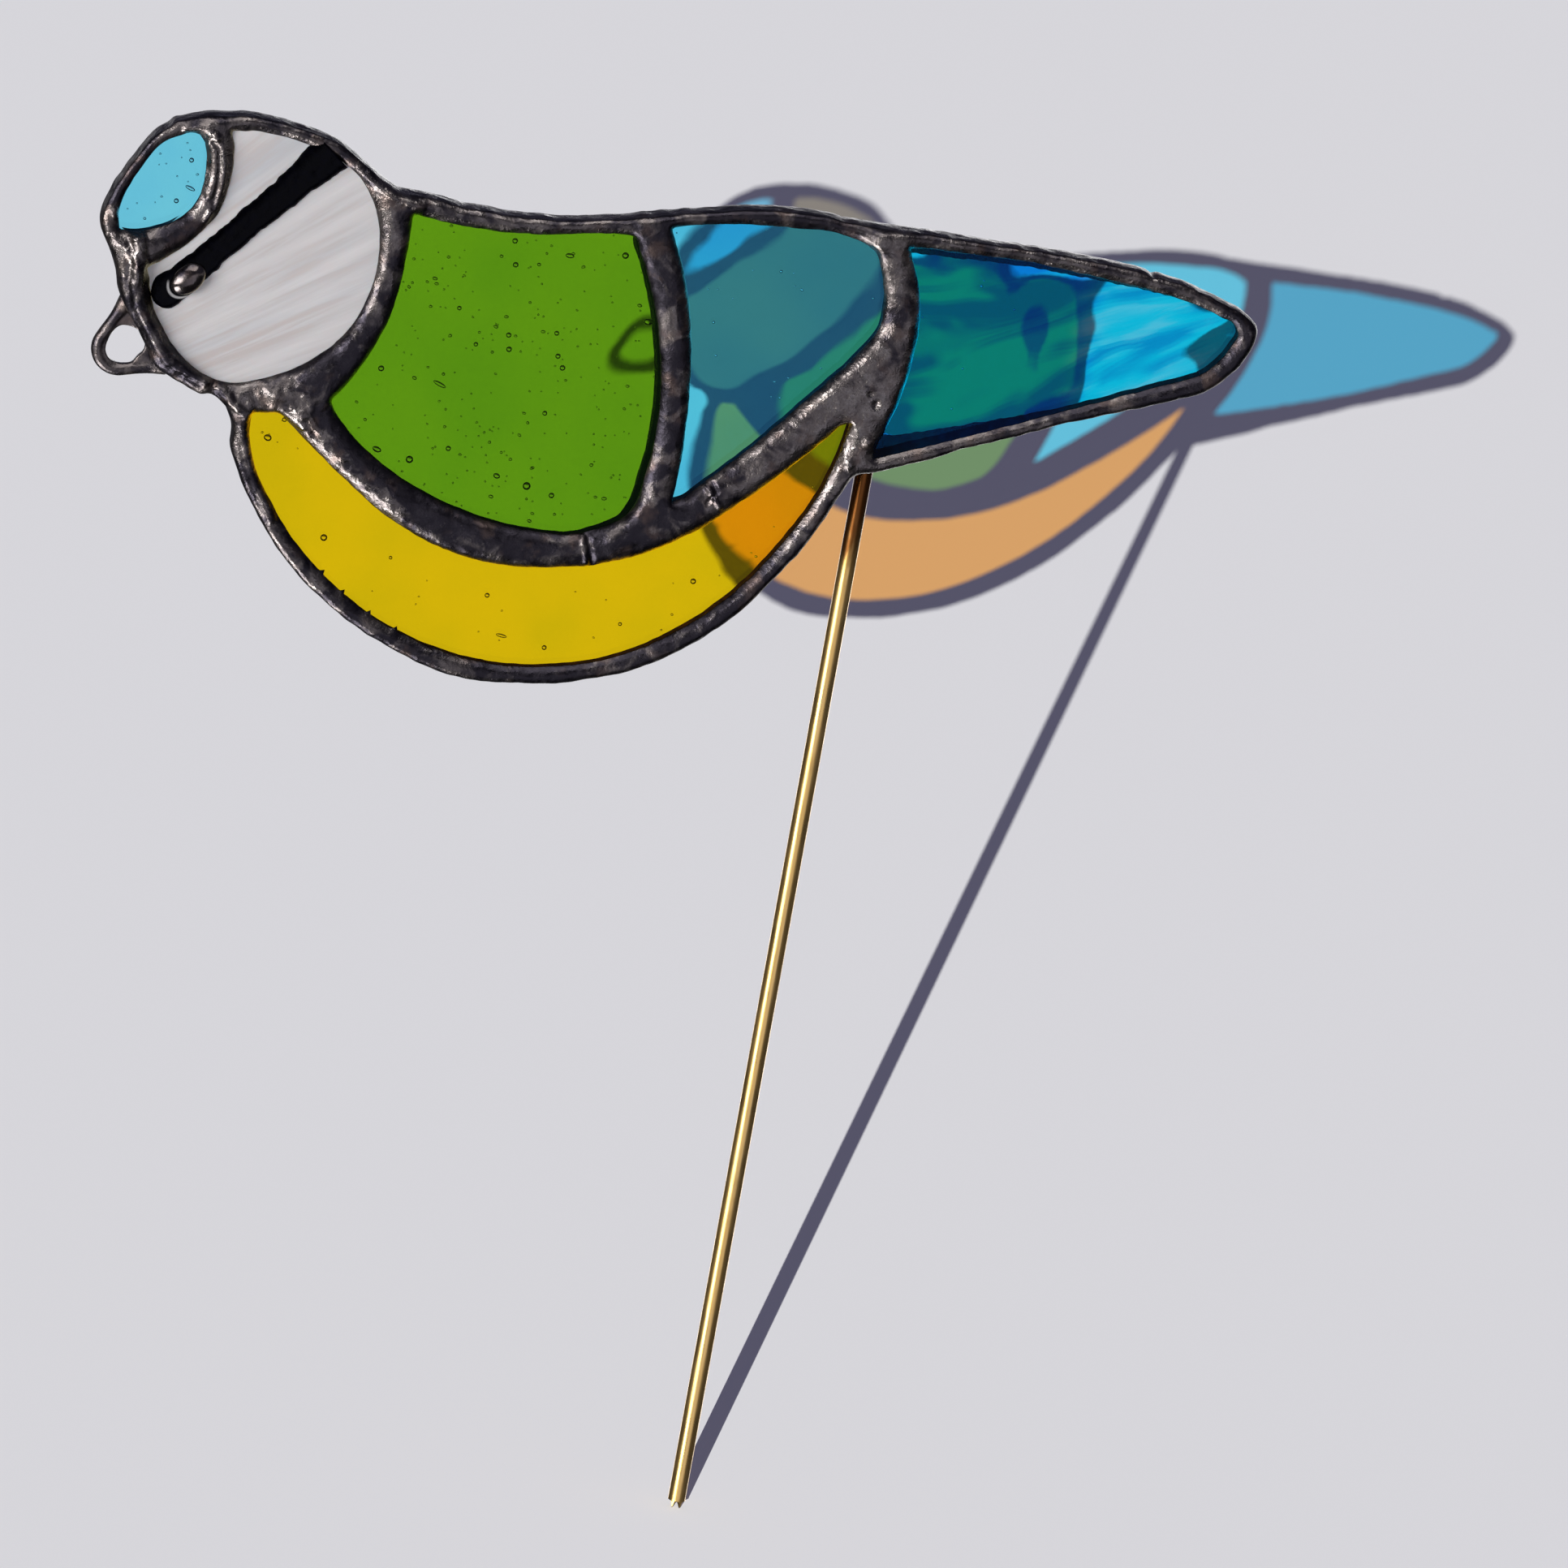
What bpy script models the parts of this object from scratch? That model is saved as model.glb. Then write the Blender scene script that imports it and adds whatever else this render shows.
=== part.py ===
# A plant stake: a small bird in copper-foil stained glass on a brass rod.
# The bird stands in the XZ plane with its front towards -Y and its head towards -X.
# The origin is the centre of the rod's cut lower end, and the rod runs up +Z.

import math

import bmesh
import bpy
from mathutils import Vector

MM = 0.001

# Thicknesses across the panel, in mm
GLASS = 3.0
GLASS_BACK = -2.4
GLASS_FRONT = GLASS_BACK - GLASS
FIT_GAP = 0.3
EDGE_RISE = 0.7
FRONT_CREST = 1.1
BACK_CREST = 1.0

# Widths in the plane of the panel, in mm
TUCK = 0.5
BACK_OPENING = 0.2
CREST_SET_IN = 0.45
RIM_SET_IN = 0.35
RIM_ROUND = 0.2
CORNER_REACH = 0.55
PANE_PITCH = 1.6
RIM_PITCH = 2.4

# Brass rod, in mm
ROD_RADIUS = 1.0
ROD_TOP = 147.0
ROD_SIDES = 24
SEAT_LOW, SEAT_HIGH = 125.4, 146.0
SEAT_HALF_WIDTH = 2.1
SEAT_DEPTH = 0.5

# The tail's foil sits off centre: at the back its lower lip widens towards the rod, over this
# length and to this width, and its upper lip is wider all along, in mm
TAIL_LIP_LENGTH = 20.0
TAIL_LIP_WIDTH = 1.9
TAIL_UPPER_LIP_WIDTH = 1.1
TAIL_MIDDLE = 143.0

# Openings of the solder lines, as corners in mm: x, z and the bulge of the arc that leads on
# to the next corner, positive to the left of the way round
WINDOWS = {
    "cap": [
        (-82.3, 151.6, -0.9),
        (-86.9, 147.2, -0.2),
        (-89.0, 142.4, -0.1),
        (-88.5, 139.7, -0.3),
        (-85.0, 140.2, -0.7),
        (-80.9, 145.1, -0.2),
        (-80.5, 149.0, -0.2),
    ],
    "face": [
        (-77.9, 152.3, 0.7),
        (-78.2, 142.6, 0.4),
        (-84.6, 135.8, -0.7),
        (-81.6, 128.5, -1.0),
        (-73.8, 123.9, -1.2),
        (-62.2, 130.8, -1.4),
        (-59.8, 143.7, -0.8),
        (-64.3, 150.6, -0.7),
        (-76.0, 153.0, 0.0),
    ],
    "back": [
        (-56.4, 146.4, -0.9),
        (-37.0, 147.1, 0.0),
        (-31.4, 147.9, 0.9),
        (-25.4, 131.2, 0.5),
        (-25.5, 119.7, 0.4),
        (-26.8, 115.5, 0.3),
        (-32.6, 112.6, 1.2),
        (-50.8, 115.3, 0.9),
        (-62.0, 123.4, -0.6),
        (-56.8, 134.9, -0.3),
    ],
    "belly": [
        (-70.6, 121.0, 0.0),
        (-67.4, 121.5, -0.2),
        (-55.0, 112.4, -2.0),
        (-34.4, 108.4, -1.7),
        (-15.8, 117.5, -0.4),
        (-3.4, 130.9, 1.0),
        (-8.1, 116.1, 1.9),
        (-24.8, 99.4, 3.0),
        (-52.4, 99.5, 1.3),
        (-67.3, 112.0, 0.8),
    ],
    "wing": [
        (-27.3, 149.3, 0.5),
        (-12.6, 151.4, 0.7),
        (-4.0, 150.3, 0.7),
        (-2.0, 141.4, 0.3),
        (-8.1, 133.0, 0.4),
        (-21.7, 117.8, -0.7),
        (-23.1, 138.3, -0.4),
    ],
    "tail": [
        (-0.3, 151.3, 0.0),
        (13.0, 151.7, 0.1),
        (29.9, 150.3, 0.3),
        (38.6, 147.8, 0.6),
        (35.0, 141.7, 0.0),
        (18.0, 134.2, 0.1),
        (-0.3, 126.4, 0.0),
        (0.3, 128.7, -0.8),
        (2.4, 143.1, -0.4),
    ],
}

# Outer edge of the whole panel, in the same way
SILHOUETTE = [
    (-78.6, 154.2, -1.0),
    (-86.9, 150.2, -0.1),
    (-90.2, 143.8, -0.4),
    (-90.9, 139.6, 0.4),
    (-87.2, 131.6, -0.1),
    (-83.6, 127.2, -0.1),
    (-82.2, 124.6, 0.0),
    (-79.6, 123.4, -0.4),
    (-75.0, 122.5, 0.3),
    (-72.1, 119.0, -0.4),
    (-71.6, 115.6, -2.5),
    (-51.9, 97.0, -1.5),
    (-34.0, 94.8, -2.1),
    (-12.8, 105.6, -1.0),
    (-2.0, 124.1, -0.1),
    (4.5, 126.6, 0.1),
    (22.3, 134.5, -0.2),
    (36.3, 140.0, -0.2),
    (40.0, 144.6, -0.2),
    (40.5, 148.6, -0.5),
    (28.6, 152.2, -0.2),
    (13.1, 153.0, 0.0),
    (-7.3, 153.0, -0.3),
    (-16.9, 153.0, -0.1),
    (-31.3, 149.8, 0.8),
    (-51.2, 148.1, -0.2),
    (-58.4, 148.5, 0.2),
    (-65.3, 153.0, -0.3),
    (-76.1, 154.6, 0.0),
]

# Black stripe through the eye: a strip from the nape down to the beak, in mm
STRIPE_TOP = (-67.4, 150.6)
STRIPE_LOW = (-81.8, 133.3)
STRIPE_WIDTH_TOP = 3.6
STRIPE_WIDTH_LOW = 2.8
STRIPE_THICKNESS = 0.5

# Solder bead for the eye, in mm
BEAD_CENTRE = (-80.1, 135.4)
BEAD_LENGTH = 4.0
BEAD_WIDTH = 2.5
BEAD_HEIGHT = 1.0

# Wire loop for the beak, in mm
WIRE_RADIUS = 0.7
LOOP_CENTRE = (-86.45, 125.65)
LOOP_RADIUS = 2.4
LOOP_UPPER_END = (-86.95, 130.05)
LOOP_LOWER_END = (-82.7, 124.1)
LOOP_STEPS = 14

# Colours, each with its roughness and metallic value
FINISHES = {
    "sky_glass": ((0.20, 0.66, 0.86), 0.06, 0.0),
    "opal_glass": ((0.62, 0.58, 0.57), 0.18, 0.0),
    "green_glass": ((0.10, 0.33, 0.01), 0.06, 0.0),
    "wing_glass": ((0.04, 0.46, 0.70), 0.06, 0.0),
    "amber_glass": ((0.68, 0.46, 0.01), 0.06, 0.0),
    "tail_glass": ((0.01, 0.40, 0.74), 0.08, 0.0),
    "dark_solder": ((0.09, 0.085, 0.09), 0.38, 0.9),
    "black_strip": ((0.01, 0.01, 0.012), 0.25, 0.0),
    "brass": ((0.60, 0.42, 0.16), 0.28, 1.0),
}


# Points along one arc, from its start up to but not including its end
def arc_points(start, end, bulge, pitch):
    chord = end - start
    side = Vector((-chord.y, chord.x)).normalized()
    steps = max(2, round(chord.length / pitch))
    points = []
    for i in range(steps):
        t = i / steps
        height = 4 * bulge * t * (1 - t)
        points.append(start + chord * t + side * height)
    return points


# Even points round a closed line
def resampled(points, count):
    ring = points + points[:1]
    runs = [0.0]
    for a, b in zip(ring, ring[1:]):
        runs.append(runs[-1] + (b - a).length)
    out = []
    k = 0
    for i in range(count):
        goal = runs[-1] * i / count
        while runs[k + 1] < goal:
            k += 1
        share = (goal - runs[k]) / (runs[k + 1] - runs[k])
        out.append(ring[k].lerp(ring[k + 1], share))
    return out


# A closed outline, counter-clockwise, with its corners softened by averaging along it
def outline(corners, pitch):
    fine = 0.1
    dense = []
    for (x, z, bulge), (next_x, next_z, _) in zip(corners, corners[1:] + corners[:1]):
        dense += arc_points(Vector((x, z)), Vector((next_x, next_z)), bulge, fine)
    length = sum((b - a).length for a, b in zip(dense, dense[1:] + dense[:1]))
    dense = resampled(dense, round(length / fine))
    reach = round(CORNER_REACH / fine)
    count = len(dense)
    soft = []
    for i in range(count):
        near = [dense[(i + k) % count] for k in range(-reach, reach + 1)]
        soft.append(sum(near, Vector((0, 0))) / len(near))
    points = resampled(soft, round(length / pitch))
    area = sum(a.cross(b) for a, b in zip(points, points[1:] + points[:1]))
    return points if area > 0 else points[::-1]


# The same outline moved outwards, or inwards with a negative distance
def offset(points, distance):
    moved = []
    for before, here, after in zip(points[-1:] + points[:-1], points, points[1:] + points[:1]):
        along = (after - before).normalized()
        moved.append(here + Vector((along.y, -along.x)) * distance)
    return moved


# One ring of vertices at a depth y
def ring(bm, points, y):
    return [bm.verts.new((p.x * MM, y * MM, p.y * MM)) for p in points]


# Quads between rings of equal length, in the order given
def skin(bm, rings):
    for low, high in zip(rings, rings[1:]):
        for i in range(len(low)):
            j = (i + 1) % len(low)
            bm.faces.new((low[i], low[j], high[j], high[i]))


# Triangles between an outer ring and any holes in it
def cover(bm, rings):
    edges = []
    for verts in rings:
        for a, b in zip(verts, verts[1:] + verts[:1]):
            edges.append(bm.edges.get((a, b)) or bm.edges.new((a, b)))
    bmesh.ops.triangle_fill(bm, use_beauty=True, use_dissolve=False, edges=edges)


# The mesh as a named object with its own finish
def finished(bm, name, finish, smooth_angle=0.6):
    bmesh.ops.recalc_face_normals(bm, faces=bm.faces)
    mesh = bpy.data.meshes.new(name)
    bm.to_mesh(mesh)
    bm.free()
    if mesh.polygons:
        mesh.shade_smooth()
        mesh.set_sharp_from_angle(angle=smooth_angle)
    mesh.materials.append(material(finish))
    obj = bpy.data.objects.new(name, mesh)
    bpy.context.collection.objects.link(obj)
    return obj


def material(finish):
    if finish in bpy.data.materials:
        return bpy.data.materials[finish]
    colour, roughness, metallic = FINISHES[finish]
    mat = bpy.data.materials.new(finish)
    mat.use_nodes = True
    shader = mat.node_tree.nodes["Principled BSDF"]
    shader.inputs["Base Color"].default_value = (*colour, 1)
    shader.inputs["Roughness"].default_value = roughness
    shader.inputs["Metallic"].default_value = metallic
    return mat


# A flat pane whose edge runs under the solder's lips
def make_pane(name, finish, window):
    bm = bmesh.new()
    edge = offset(window, TUCK)
    front = ring(bm, edge, GLASS_FRONT)
    back = ring(bm, edge, GLASS_BACK)
    skin(bm, [front, back])
    cover(bm, [front])
    cover(bm, [back])
    return finished(bm, name, finish)


# The opening at the back, a little wider than at the front, but narrower for the tail
def back_window(name, window):
    if name != "tail":
        return offset(window, BACK_OPENING)
    low = min(p.y for p in window)
    high = max(p.y for p in window)
    long = max(p.x for p in window)
    narrowed = []
    for p in window:
        near_rod = max(0.0, 1 - max(p.x, 0.0) / TAIL_LIP_LENGTH)
        near_tip = max(p.x, 0.0) / long
        depth = min(1.0, max(0.0, (TAIL_MIDDLE - p.y) / (TAIL_MIDDLE - low)))
        height = min(1.0, max(0.0, (p.y - TAIL_MIDDLE) / (high - TAIL_MIDDLE)))
        lower_lip = TAIL_LIP_WIDTH * near_rod * min(1.0, 2 * depth)
        upper_lip = TAIL_UPPER_LIP_WIDTH * (1 - near_tip**2) * height
        narrowed.append(Vector((p.x, p.y + lower_lip - upper_lip)))
    return narrowed


# The soldered network: domed lips at the front and back, with a groove for each pane
def make_solder_lines(windows, rim):
    bm = bmesh.new()
    front_top = GLASS_FRONT - FRONT_CREST
    back_top = GLASS_BACK + BACK_CREST
    front_holes, back_holes = [], []
    for name, window in windows.items():
        behind = back_window(name, window)
        groove = offset(window, TUCK + FIT_GAP)
        rings = [
            ring(bm, offset(window, CREST_SET_IN), front_top),
            ring(bm, window, GLASS_FRONT - EDGE_RISE),
            ring(bm, window, GLASS_FRONT - FIT_GAP),
            ring(bm, groove, GLASS_FRONT - FIT_GAP),
            ring(bm, groove, GLASS_BACK + FIT_GAP),
            ring(bm, behind, GLASS_BACK + FIT_GAP),
            ring(bm, behind, GLASS_BACK + EDGE_RISE),
            ring(bm, offset(behind, CREST_SET_IN), back_top),
        ]
        skin(bm, rings)
        front_holes.append(rings[0])
        back_holes.append(rings[-1])
    sides = [
        ring(bm, offset(rim, -RIM_SET_IN), front_top),
        ring(bm, rim, GLASS_FRONT + RIM_ROUND),
        ring(bm, rim, GLASS_BACK - RIM_ROUND),
        ring(bm, offset(rim, -RIM_SET_IN), back_top),
    ]
    skin(bm, sides)
    cover(bm, [sides[0], *front_holes])
    cover(bm, [sides[-1], *back_holes])
    return finished(bm, "solder_lines", "dark_solder")


# A straight bar along Z with the given section, used for the rod's seat
def make_bar(name, low_z, high_z, profile):
    bm = bmesh.new()
    low = [bm.verts.new((x * MM, y * MM, low_z * MM)) for x, y in profile]
    high = [bm.verts.new((x * MM, y * MM, high_z * MM)) for x, y in profile]
    skin(bm, [low, high])
    bm.faces.new(low[::-1])
    bm.faces.new(high)
    return finished(bm, name, "dark_solder")


def circle(radius, sides):
    turn = 2 * math.pi / sides
    return [(radius * math.cos(i * turn), radius * math.sin(i * turn)) for i in range(sides)]


# The rod lies in a channel along the back of the seam, with solder up both its sides
def seat_rod(solder):
    base = GLASS_BACK + EDGE_RISE
    slope = 0.9
    seat = make_bar(
        "seat_shape",
        SEAT_LOW,
        SEAT_HIGH,
        [
            (-SEAT_HALF_WIDTH, base),
            (SEAT_HALF_WIDTH, base),
            (SEAT_HALF_WIDTH - slope / 2, -SEAT_DEPTH),
            (SEAT_HALF_WIDTH - slope, SEAT_DEPTH),
            (slope - SEAT_HALF_WIDTH, SEAT_DEPTH),
            (slope / 2 - SEAT_HALF_WIDTH, -SEAT_DEPTH),
        ],
    )
    past = 3.0
    channel = make_bar(
        "channel_shape",
        SEAT_LOW - past,
        SEAT_HIGH + past,
        circle(ROD_RADIUS + FIT_GAP, ROD_SIDES),
    )
    for tool, operation in ((seat, "UNION"), (channel, "DIFFERENCE")):
        tool.hide_render = True
        tool.display_type = "WIRE"
        cut = solder.modifiers.new(tool.name, "BOOLEAN")
        cut.operation = operation
        cut.object = tool


# The stripe: a flat strip with a round lower end, lying just in front of the face glass
def make_stripe():
    top, low = Vector(STRIPE_TOP), Vector(STRIPE_LOW)
    along = (low - top).normalized()
    across = Vector((along.y, -along.x))
    half_top, half_low = STRIPE_WIDTH_TOP / 2, STRIPE_WIDTH_LOW / 2
    round_steps = 10
    edge = [top - across * half_top, top + across * half_top]
    for i in range(round_steps + 1):
        turn = math.pi * i / round_steps
        edge.append(low + across * half_low * math.cos(turn) + along * half_low * math.sin(turn))
    y_back = GLASS_FRONT - FIT_GAP
    bevel = 0.15
    bm = bmesh.new()
    rings = [
        ring(bm, edge, y_back),
        ring(bm, edge, y_back - STRIPE_THICKNESS + bevel),
        ring(bm, [p + (low.lerp(top, 0.5) - p).normalized() * bevel for p in edge], y_back - STRIPE_THICKNESS),
    ]
    skin(bm, rings)
    cover(bm, [rings[0]])
    cover(bm, [rings[-1]])
    return finished(bm, "eye_stripe", "black_strip")


# The eye: a domed oval bead, lying along the stripe
def make_bead():
    bm = bmesh.new()
    bmesh.ops.create_uvsphere(bm, u_segments=20, v_segments=10, radius=1.0)
    flat = GLASS_FRONT - 2 * FIT_GAP - STRIPE_THICKNESS
    cut = bmesh.ops.bisect_plane(
        bm,
        geom=bm.verts[:] + bm.edges[:] + bm.faces[:],
        plane_co=(0, 0, 0),
        plane_no=(0, 1, 0),
        clear_outer=True,
    )
    rim_edges = [g for g in cut["geom_cut"] if isinstance(g, bmesh.types.BMEdge)]
    bmesh.ops.contextual_create(bm, geom=rim_edges)
    top, low = Vector(STRIPE_TOP), Vector(STRIPE_LOW)
    along = (top - low).normalized()
    for v in bm.verts:
        run, rise = v.co.x * BEAD_LENGTH / 2, v.co.z * BEAD_WIDTH / 2
        x = BEAD_CENTRE[0] + run * along.x - rise * along.y
        z = BEAD_CENTRE[1] + run * along.y + rise * along.x
        v.co = Vector((x, flat + v.co.y * BEAD_HEIGHT, z)) * MM
    return finished(bm, "eye_bead", "dark_solder", smooth_angle=1.0)


# Where a straight run from an outside point meets the loop's circle without a corner
def tangent_turn(point, side):
    reach = Vector(point) - Vector(LOOP_CENTRE)
    return math.atan2(reach.y, reach.x) + side * math.acos(LOOP_RADIUS / reach.length)


# The beak: a wire that leaves the forehead, rounds the loop and comes back to the throat
def make_beak_loop():
    start = tangent_turn(LOOP_UPPER_END, 1)
    stop = tangent_turn(LOOP_LOWER_END, -1) + 2 * math.pi
    if stop - start > 2 * math.pi:
        stop -= 2 * math.pi
    path = [Vector(LOOP_UPPER_END)]
    for i in range(LOOP_STEPS + 1):
        turn = start + (stop - start) * i / LOOP_STEPS
        path.append(Vector(LOOP_CENTRE) + LOOP_RADIUS * Vector((math.cos(turn), math.sin(turn))))
    path.append(Vector(LOOP_LOWER_END))
    y_middle = (GLASS_FRONT + GLASS_BACK) / 2
    bm = bmesh.new()
    rings = []
    for i, here in enumerate(path):
        before, after = path[max(i - 1, 0)], path[min(i + 1, len(path) - 1)]
        along = (after - before).normalized()
        across = Vector((along.y, -along.x))
        verts = []
        for c, s in circle(WIRE_RADIUS, 10):
            p = here + across * c
            verts.append(bm.verts.new((p.x * MM, (y_middle + s) * MM, p.y * MM)))
        rings.append(verts)
    skin(bm, rings)
    bm.faces.new(rings[0])
    bm.faces.new(rings[-1][::-1])
    return finished(bm, "beak_loop", "dark_solder", smooth_angle=0.9)


# The brass rod, cut square at its lower end and hidden behind the seam at its upper end
def make_rod():
    bm = bmesh.new()
    chamfer = 0.2
    levels = [(0.0, ROD_RADIUS), (ROD_TOP - chamfer, ROD_RADIUS), (ROD_TOP, ROD_RADIUS - chamfer)]
    rings = []
    for z, radius in levels:
        rings.append([bm.verts.new((x * MM, y * MM, z * MM)) for x, y in circle(radius, ROD_SIDES)])
    skin(bm, rings)
    bm.faces.new(rings[0][::-1])
    bm.faces.new(rings[-1])
    return finished(bm, "stake_rod", "brass")


def main():
    for obj in list(bpy.data.objects):
        bpy.data.objects.remove(obj)
    windows = {name: outline(corners, PANE_PITCH) for name, corners in WINDOWS.items()}
    glass = {
        "cap": "sky_glass",
        "face": "opal_glass",
        "back": "green_glass",
        "belly": "amber_glass",
        "wing": "wing_glass",
        "tail": "tail_glass",
    }
    for name, window in windows.items():
        make_pane(name + "_glass", glass[name], window)
    solder = make_solder_lines(windows, outline(SILHOUETTE, RIM_PITCH))
    seat_rod(solder)
    make_stripe()
    make_bead()
    make_beak_loop()
    make_rod()


main()
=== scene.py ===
import math
import random
from collections import Counter

import bmesh
import bpy
import numpy as np
from mathutils import Euler, Matrix, Vector, geometry, kdtree, noise


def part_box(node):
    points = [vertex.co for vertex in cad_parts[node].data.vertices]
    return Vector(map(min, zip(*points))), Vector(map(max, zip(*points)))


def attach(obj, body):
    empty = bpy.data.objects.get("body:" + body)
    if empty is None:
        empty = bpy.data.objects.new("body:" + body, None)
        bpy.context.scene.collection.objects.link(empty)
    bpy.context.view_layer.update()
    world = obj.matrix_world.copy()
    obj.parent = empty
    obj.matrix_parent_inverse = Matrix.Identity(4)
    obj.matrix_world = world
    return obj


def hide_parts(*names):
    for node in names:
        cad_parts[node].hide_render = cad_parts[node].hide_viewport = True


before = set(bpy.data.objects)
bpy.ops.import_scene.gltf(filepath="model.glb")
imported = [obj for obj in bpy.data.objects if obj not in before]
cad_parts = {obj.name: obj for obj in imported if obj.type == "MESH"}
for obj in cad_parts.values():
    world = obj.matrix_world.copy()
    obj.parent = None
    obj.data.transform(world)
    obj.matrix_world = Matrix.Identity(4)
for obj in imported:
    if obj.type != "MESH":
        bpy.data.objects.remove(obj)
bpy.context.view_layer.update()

# Everything below is worked out in mm, in the panel's own x and z, and scaled as meshes are made
mm = 0.001
print("frame loaded:", len(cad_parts), "nodes")


# Depths of the glass, read from the frame
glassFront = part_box("back_glass")[0].y / mm
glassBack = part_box("back_glass")[1].y / mm
sameDepth = 0.01  # places of a mesh closer in depth than this are on one level


# The closed line of a node's edges at one depth, counter-clockwise from the front
def outlineAt(node, depth):
    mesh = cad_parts[node].data
    places = [(round(v.co.x / mm, 3), round(v.co.z / mm, 3)) for v in mesh.vertices]
    level = [abs(v.co.y / mm - depth) < sameDepth for v in mesh.vertices]
    edges = set()
    flatFaces = Counter()
    for face in mesh.polygons:
        corners = list(face.vertices)
        flat = all(level[i] for i in corners)
        for i, j in zip(corners, corners[1:] + corners[:1]):
            if level[i] and level[j] and places[i] != places[j]:
                edge = frozenset((places[i], places[j]))
                edges.add(edge)
                flatFaces[edge] += flat
    beside = {}
    for edge in edges:
        if flatFaces[edge] <= 1:
            a, b = edge
            beside.setdefault(a, []).append(b)
            beside.setdefault(b, []).append(a)
    line = [min(beside)]
    before = None
    while True:
        onward = [p for p in beside[line[-1]] if p != before]
        before = line[-1]
        if onward[0] == line[0] or len(line) > len(beside):
            break
        line.append(onward[0])
    points = np.array(line)
    after = np.roll(points, -1, 0)
    area = np.sum(points[:, 0] * after[:, 1] - points[:, 1] * after[:, 0])
    return points if area > 0 else points[::-1]


# Even points along a closed line, rounded through its corners
def smoothLine(points, pitch, steps=12):
    before, after = np.roll(points, 1, 0), np.roll(points, -1, 0)
    later = np.roll(points, -2, 0)
    dense = []
    for a, b, c, d in zip(before, points, after, later):
        for t in np.linspace(0, 1, steps, endpoint=False):
            even = b * 2 + (c - a) * t
            bend = (a * 2 - b * 5 + c * 4 - d) * t**2 + (b * 3 - a - c * 3 + d) * t**3
            dense.append((even + bend) / 2)
    return evenLine(np.array(dense), pitch)


# Even points along a closed line, as it is
def evenLine(points, pitch, fewest=8):
    closed = np.vstack([points, points[:1]])
    runs = np.concatenate([[0], np.cumsum(np.linalg.norm(np.diff(closed, axis=0), axis=1))])
    goals = np.linspace(0, runs[-1], max(fewest, round(runs[-1] / pitch)), endpoint=False)
    return np.stack([np.interp(goals, runs, closed[:, k]) for k in (0, 1)], 1)


# The directions that point out of a closed line
def outward(points):
    along = np.roll(points, -1, 0) - np.roll(points, 1, 0)
    along /= np.linalg.norm(along, axis=1)[:, None]
    return np.stack([along[:, 1], -along[:, 0]], 1)


# Smooth random values from -1 to 1 over the panel, in lumps about this many mm across
def lumps(points, size, seed):
    return np.array([noise.noise(Vector((x / size, z / size, seed))) for x, z in points])


# The sum of some lumps, each given by its height, size and seed
def shaking(points, shakes):
    return sum(amount * lumps(points, size, seed) for amount, size, seed in shakes)


def wavering(points, shakes):
    return points + outward(points) * shaking(points, shakes)[:, None]


panes = ["cap", "face", "back", "wing", "belly", "tail"]
lipTuck = 0.5  # how far each pane runs under the solder, as built
rimDepth = glassFront + 0.2  # where the rim is widest, as built
finePitch = 0.3
paneLines = {name: smoothLine(outlineAt(name + "_glass", glassFront), finePitch) for name in panes}
rimLine = smoothLine(outlineAt("solder_lines", rimDepth), finePitch)
print("outlines read:", {name: len(line) for name, line in paneLines.items()}, len(rimLine))


# Shader links as values: + - * / and ** on one add the Math nodes
class Link:
    def __init__(self, finish, socket):
        self.finish = finish
        self.socket = socket

    def maths(self, operation, *values):
        return self.finish.node("Math", {"operation": operation}, values)

    def __add__(self, other):
        return self.maths("ADD", self, other)

    def __sub__(self, other):
        return self.maths("SUBTRACT", self, other)

    def __mul__(self, other):
        return self.maths("MULTIPLY", self, other)

    def __truediv__(self, other):
        return self.maths("DIVIDE", self, other)

    def __pow__(self, other):
        return self.maths("POWER", self, other)

    def between(self, low, high, start=0.0, end=1.0):
        return self.finish.node(
            "MapRange",
            {"interpolation_type": "SMOOTHSTEP"},
            {"Value": self, "From Min": low, "From Max": high, "To Min": start, "To Max": end},
        )


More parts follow.
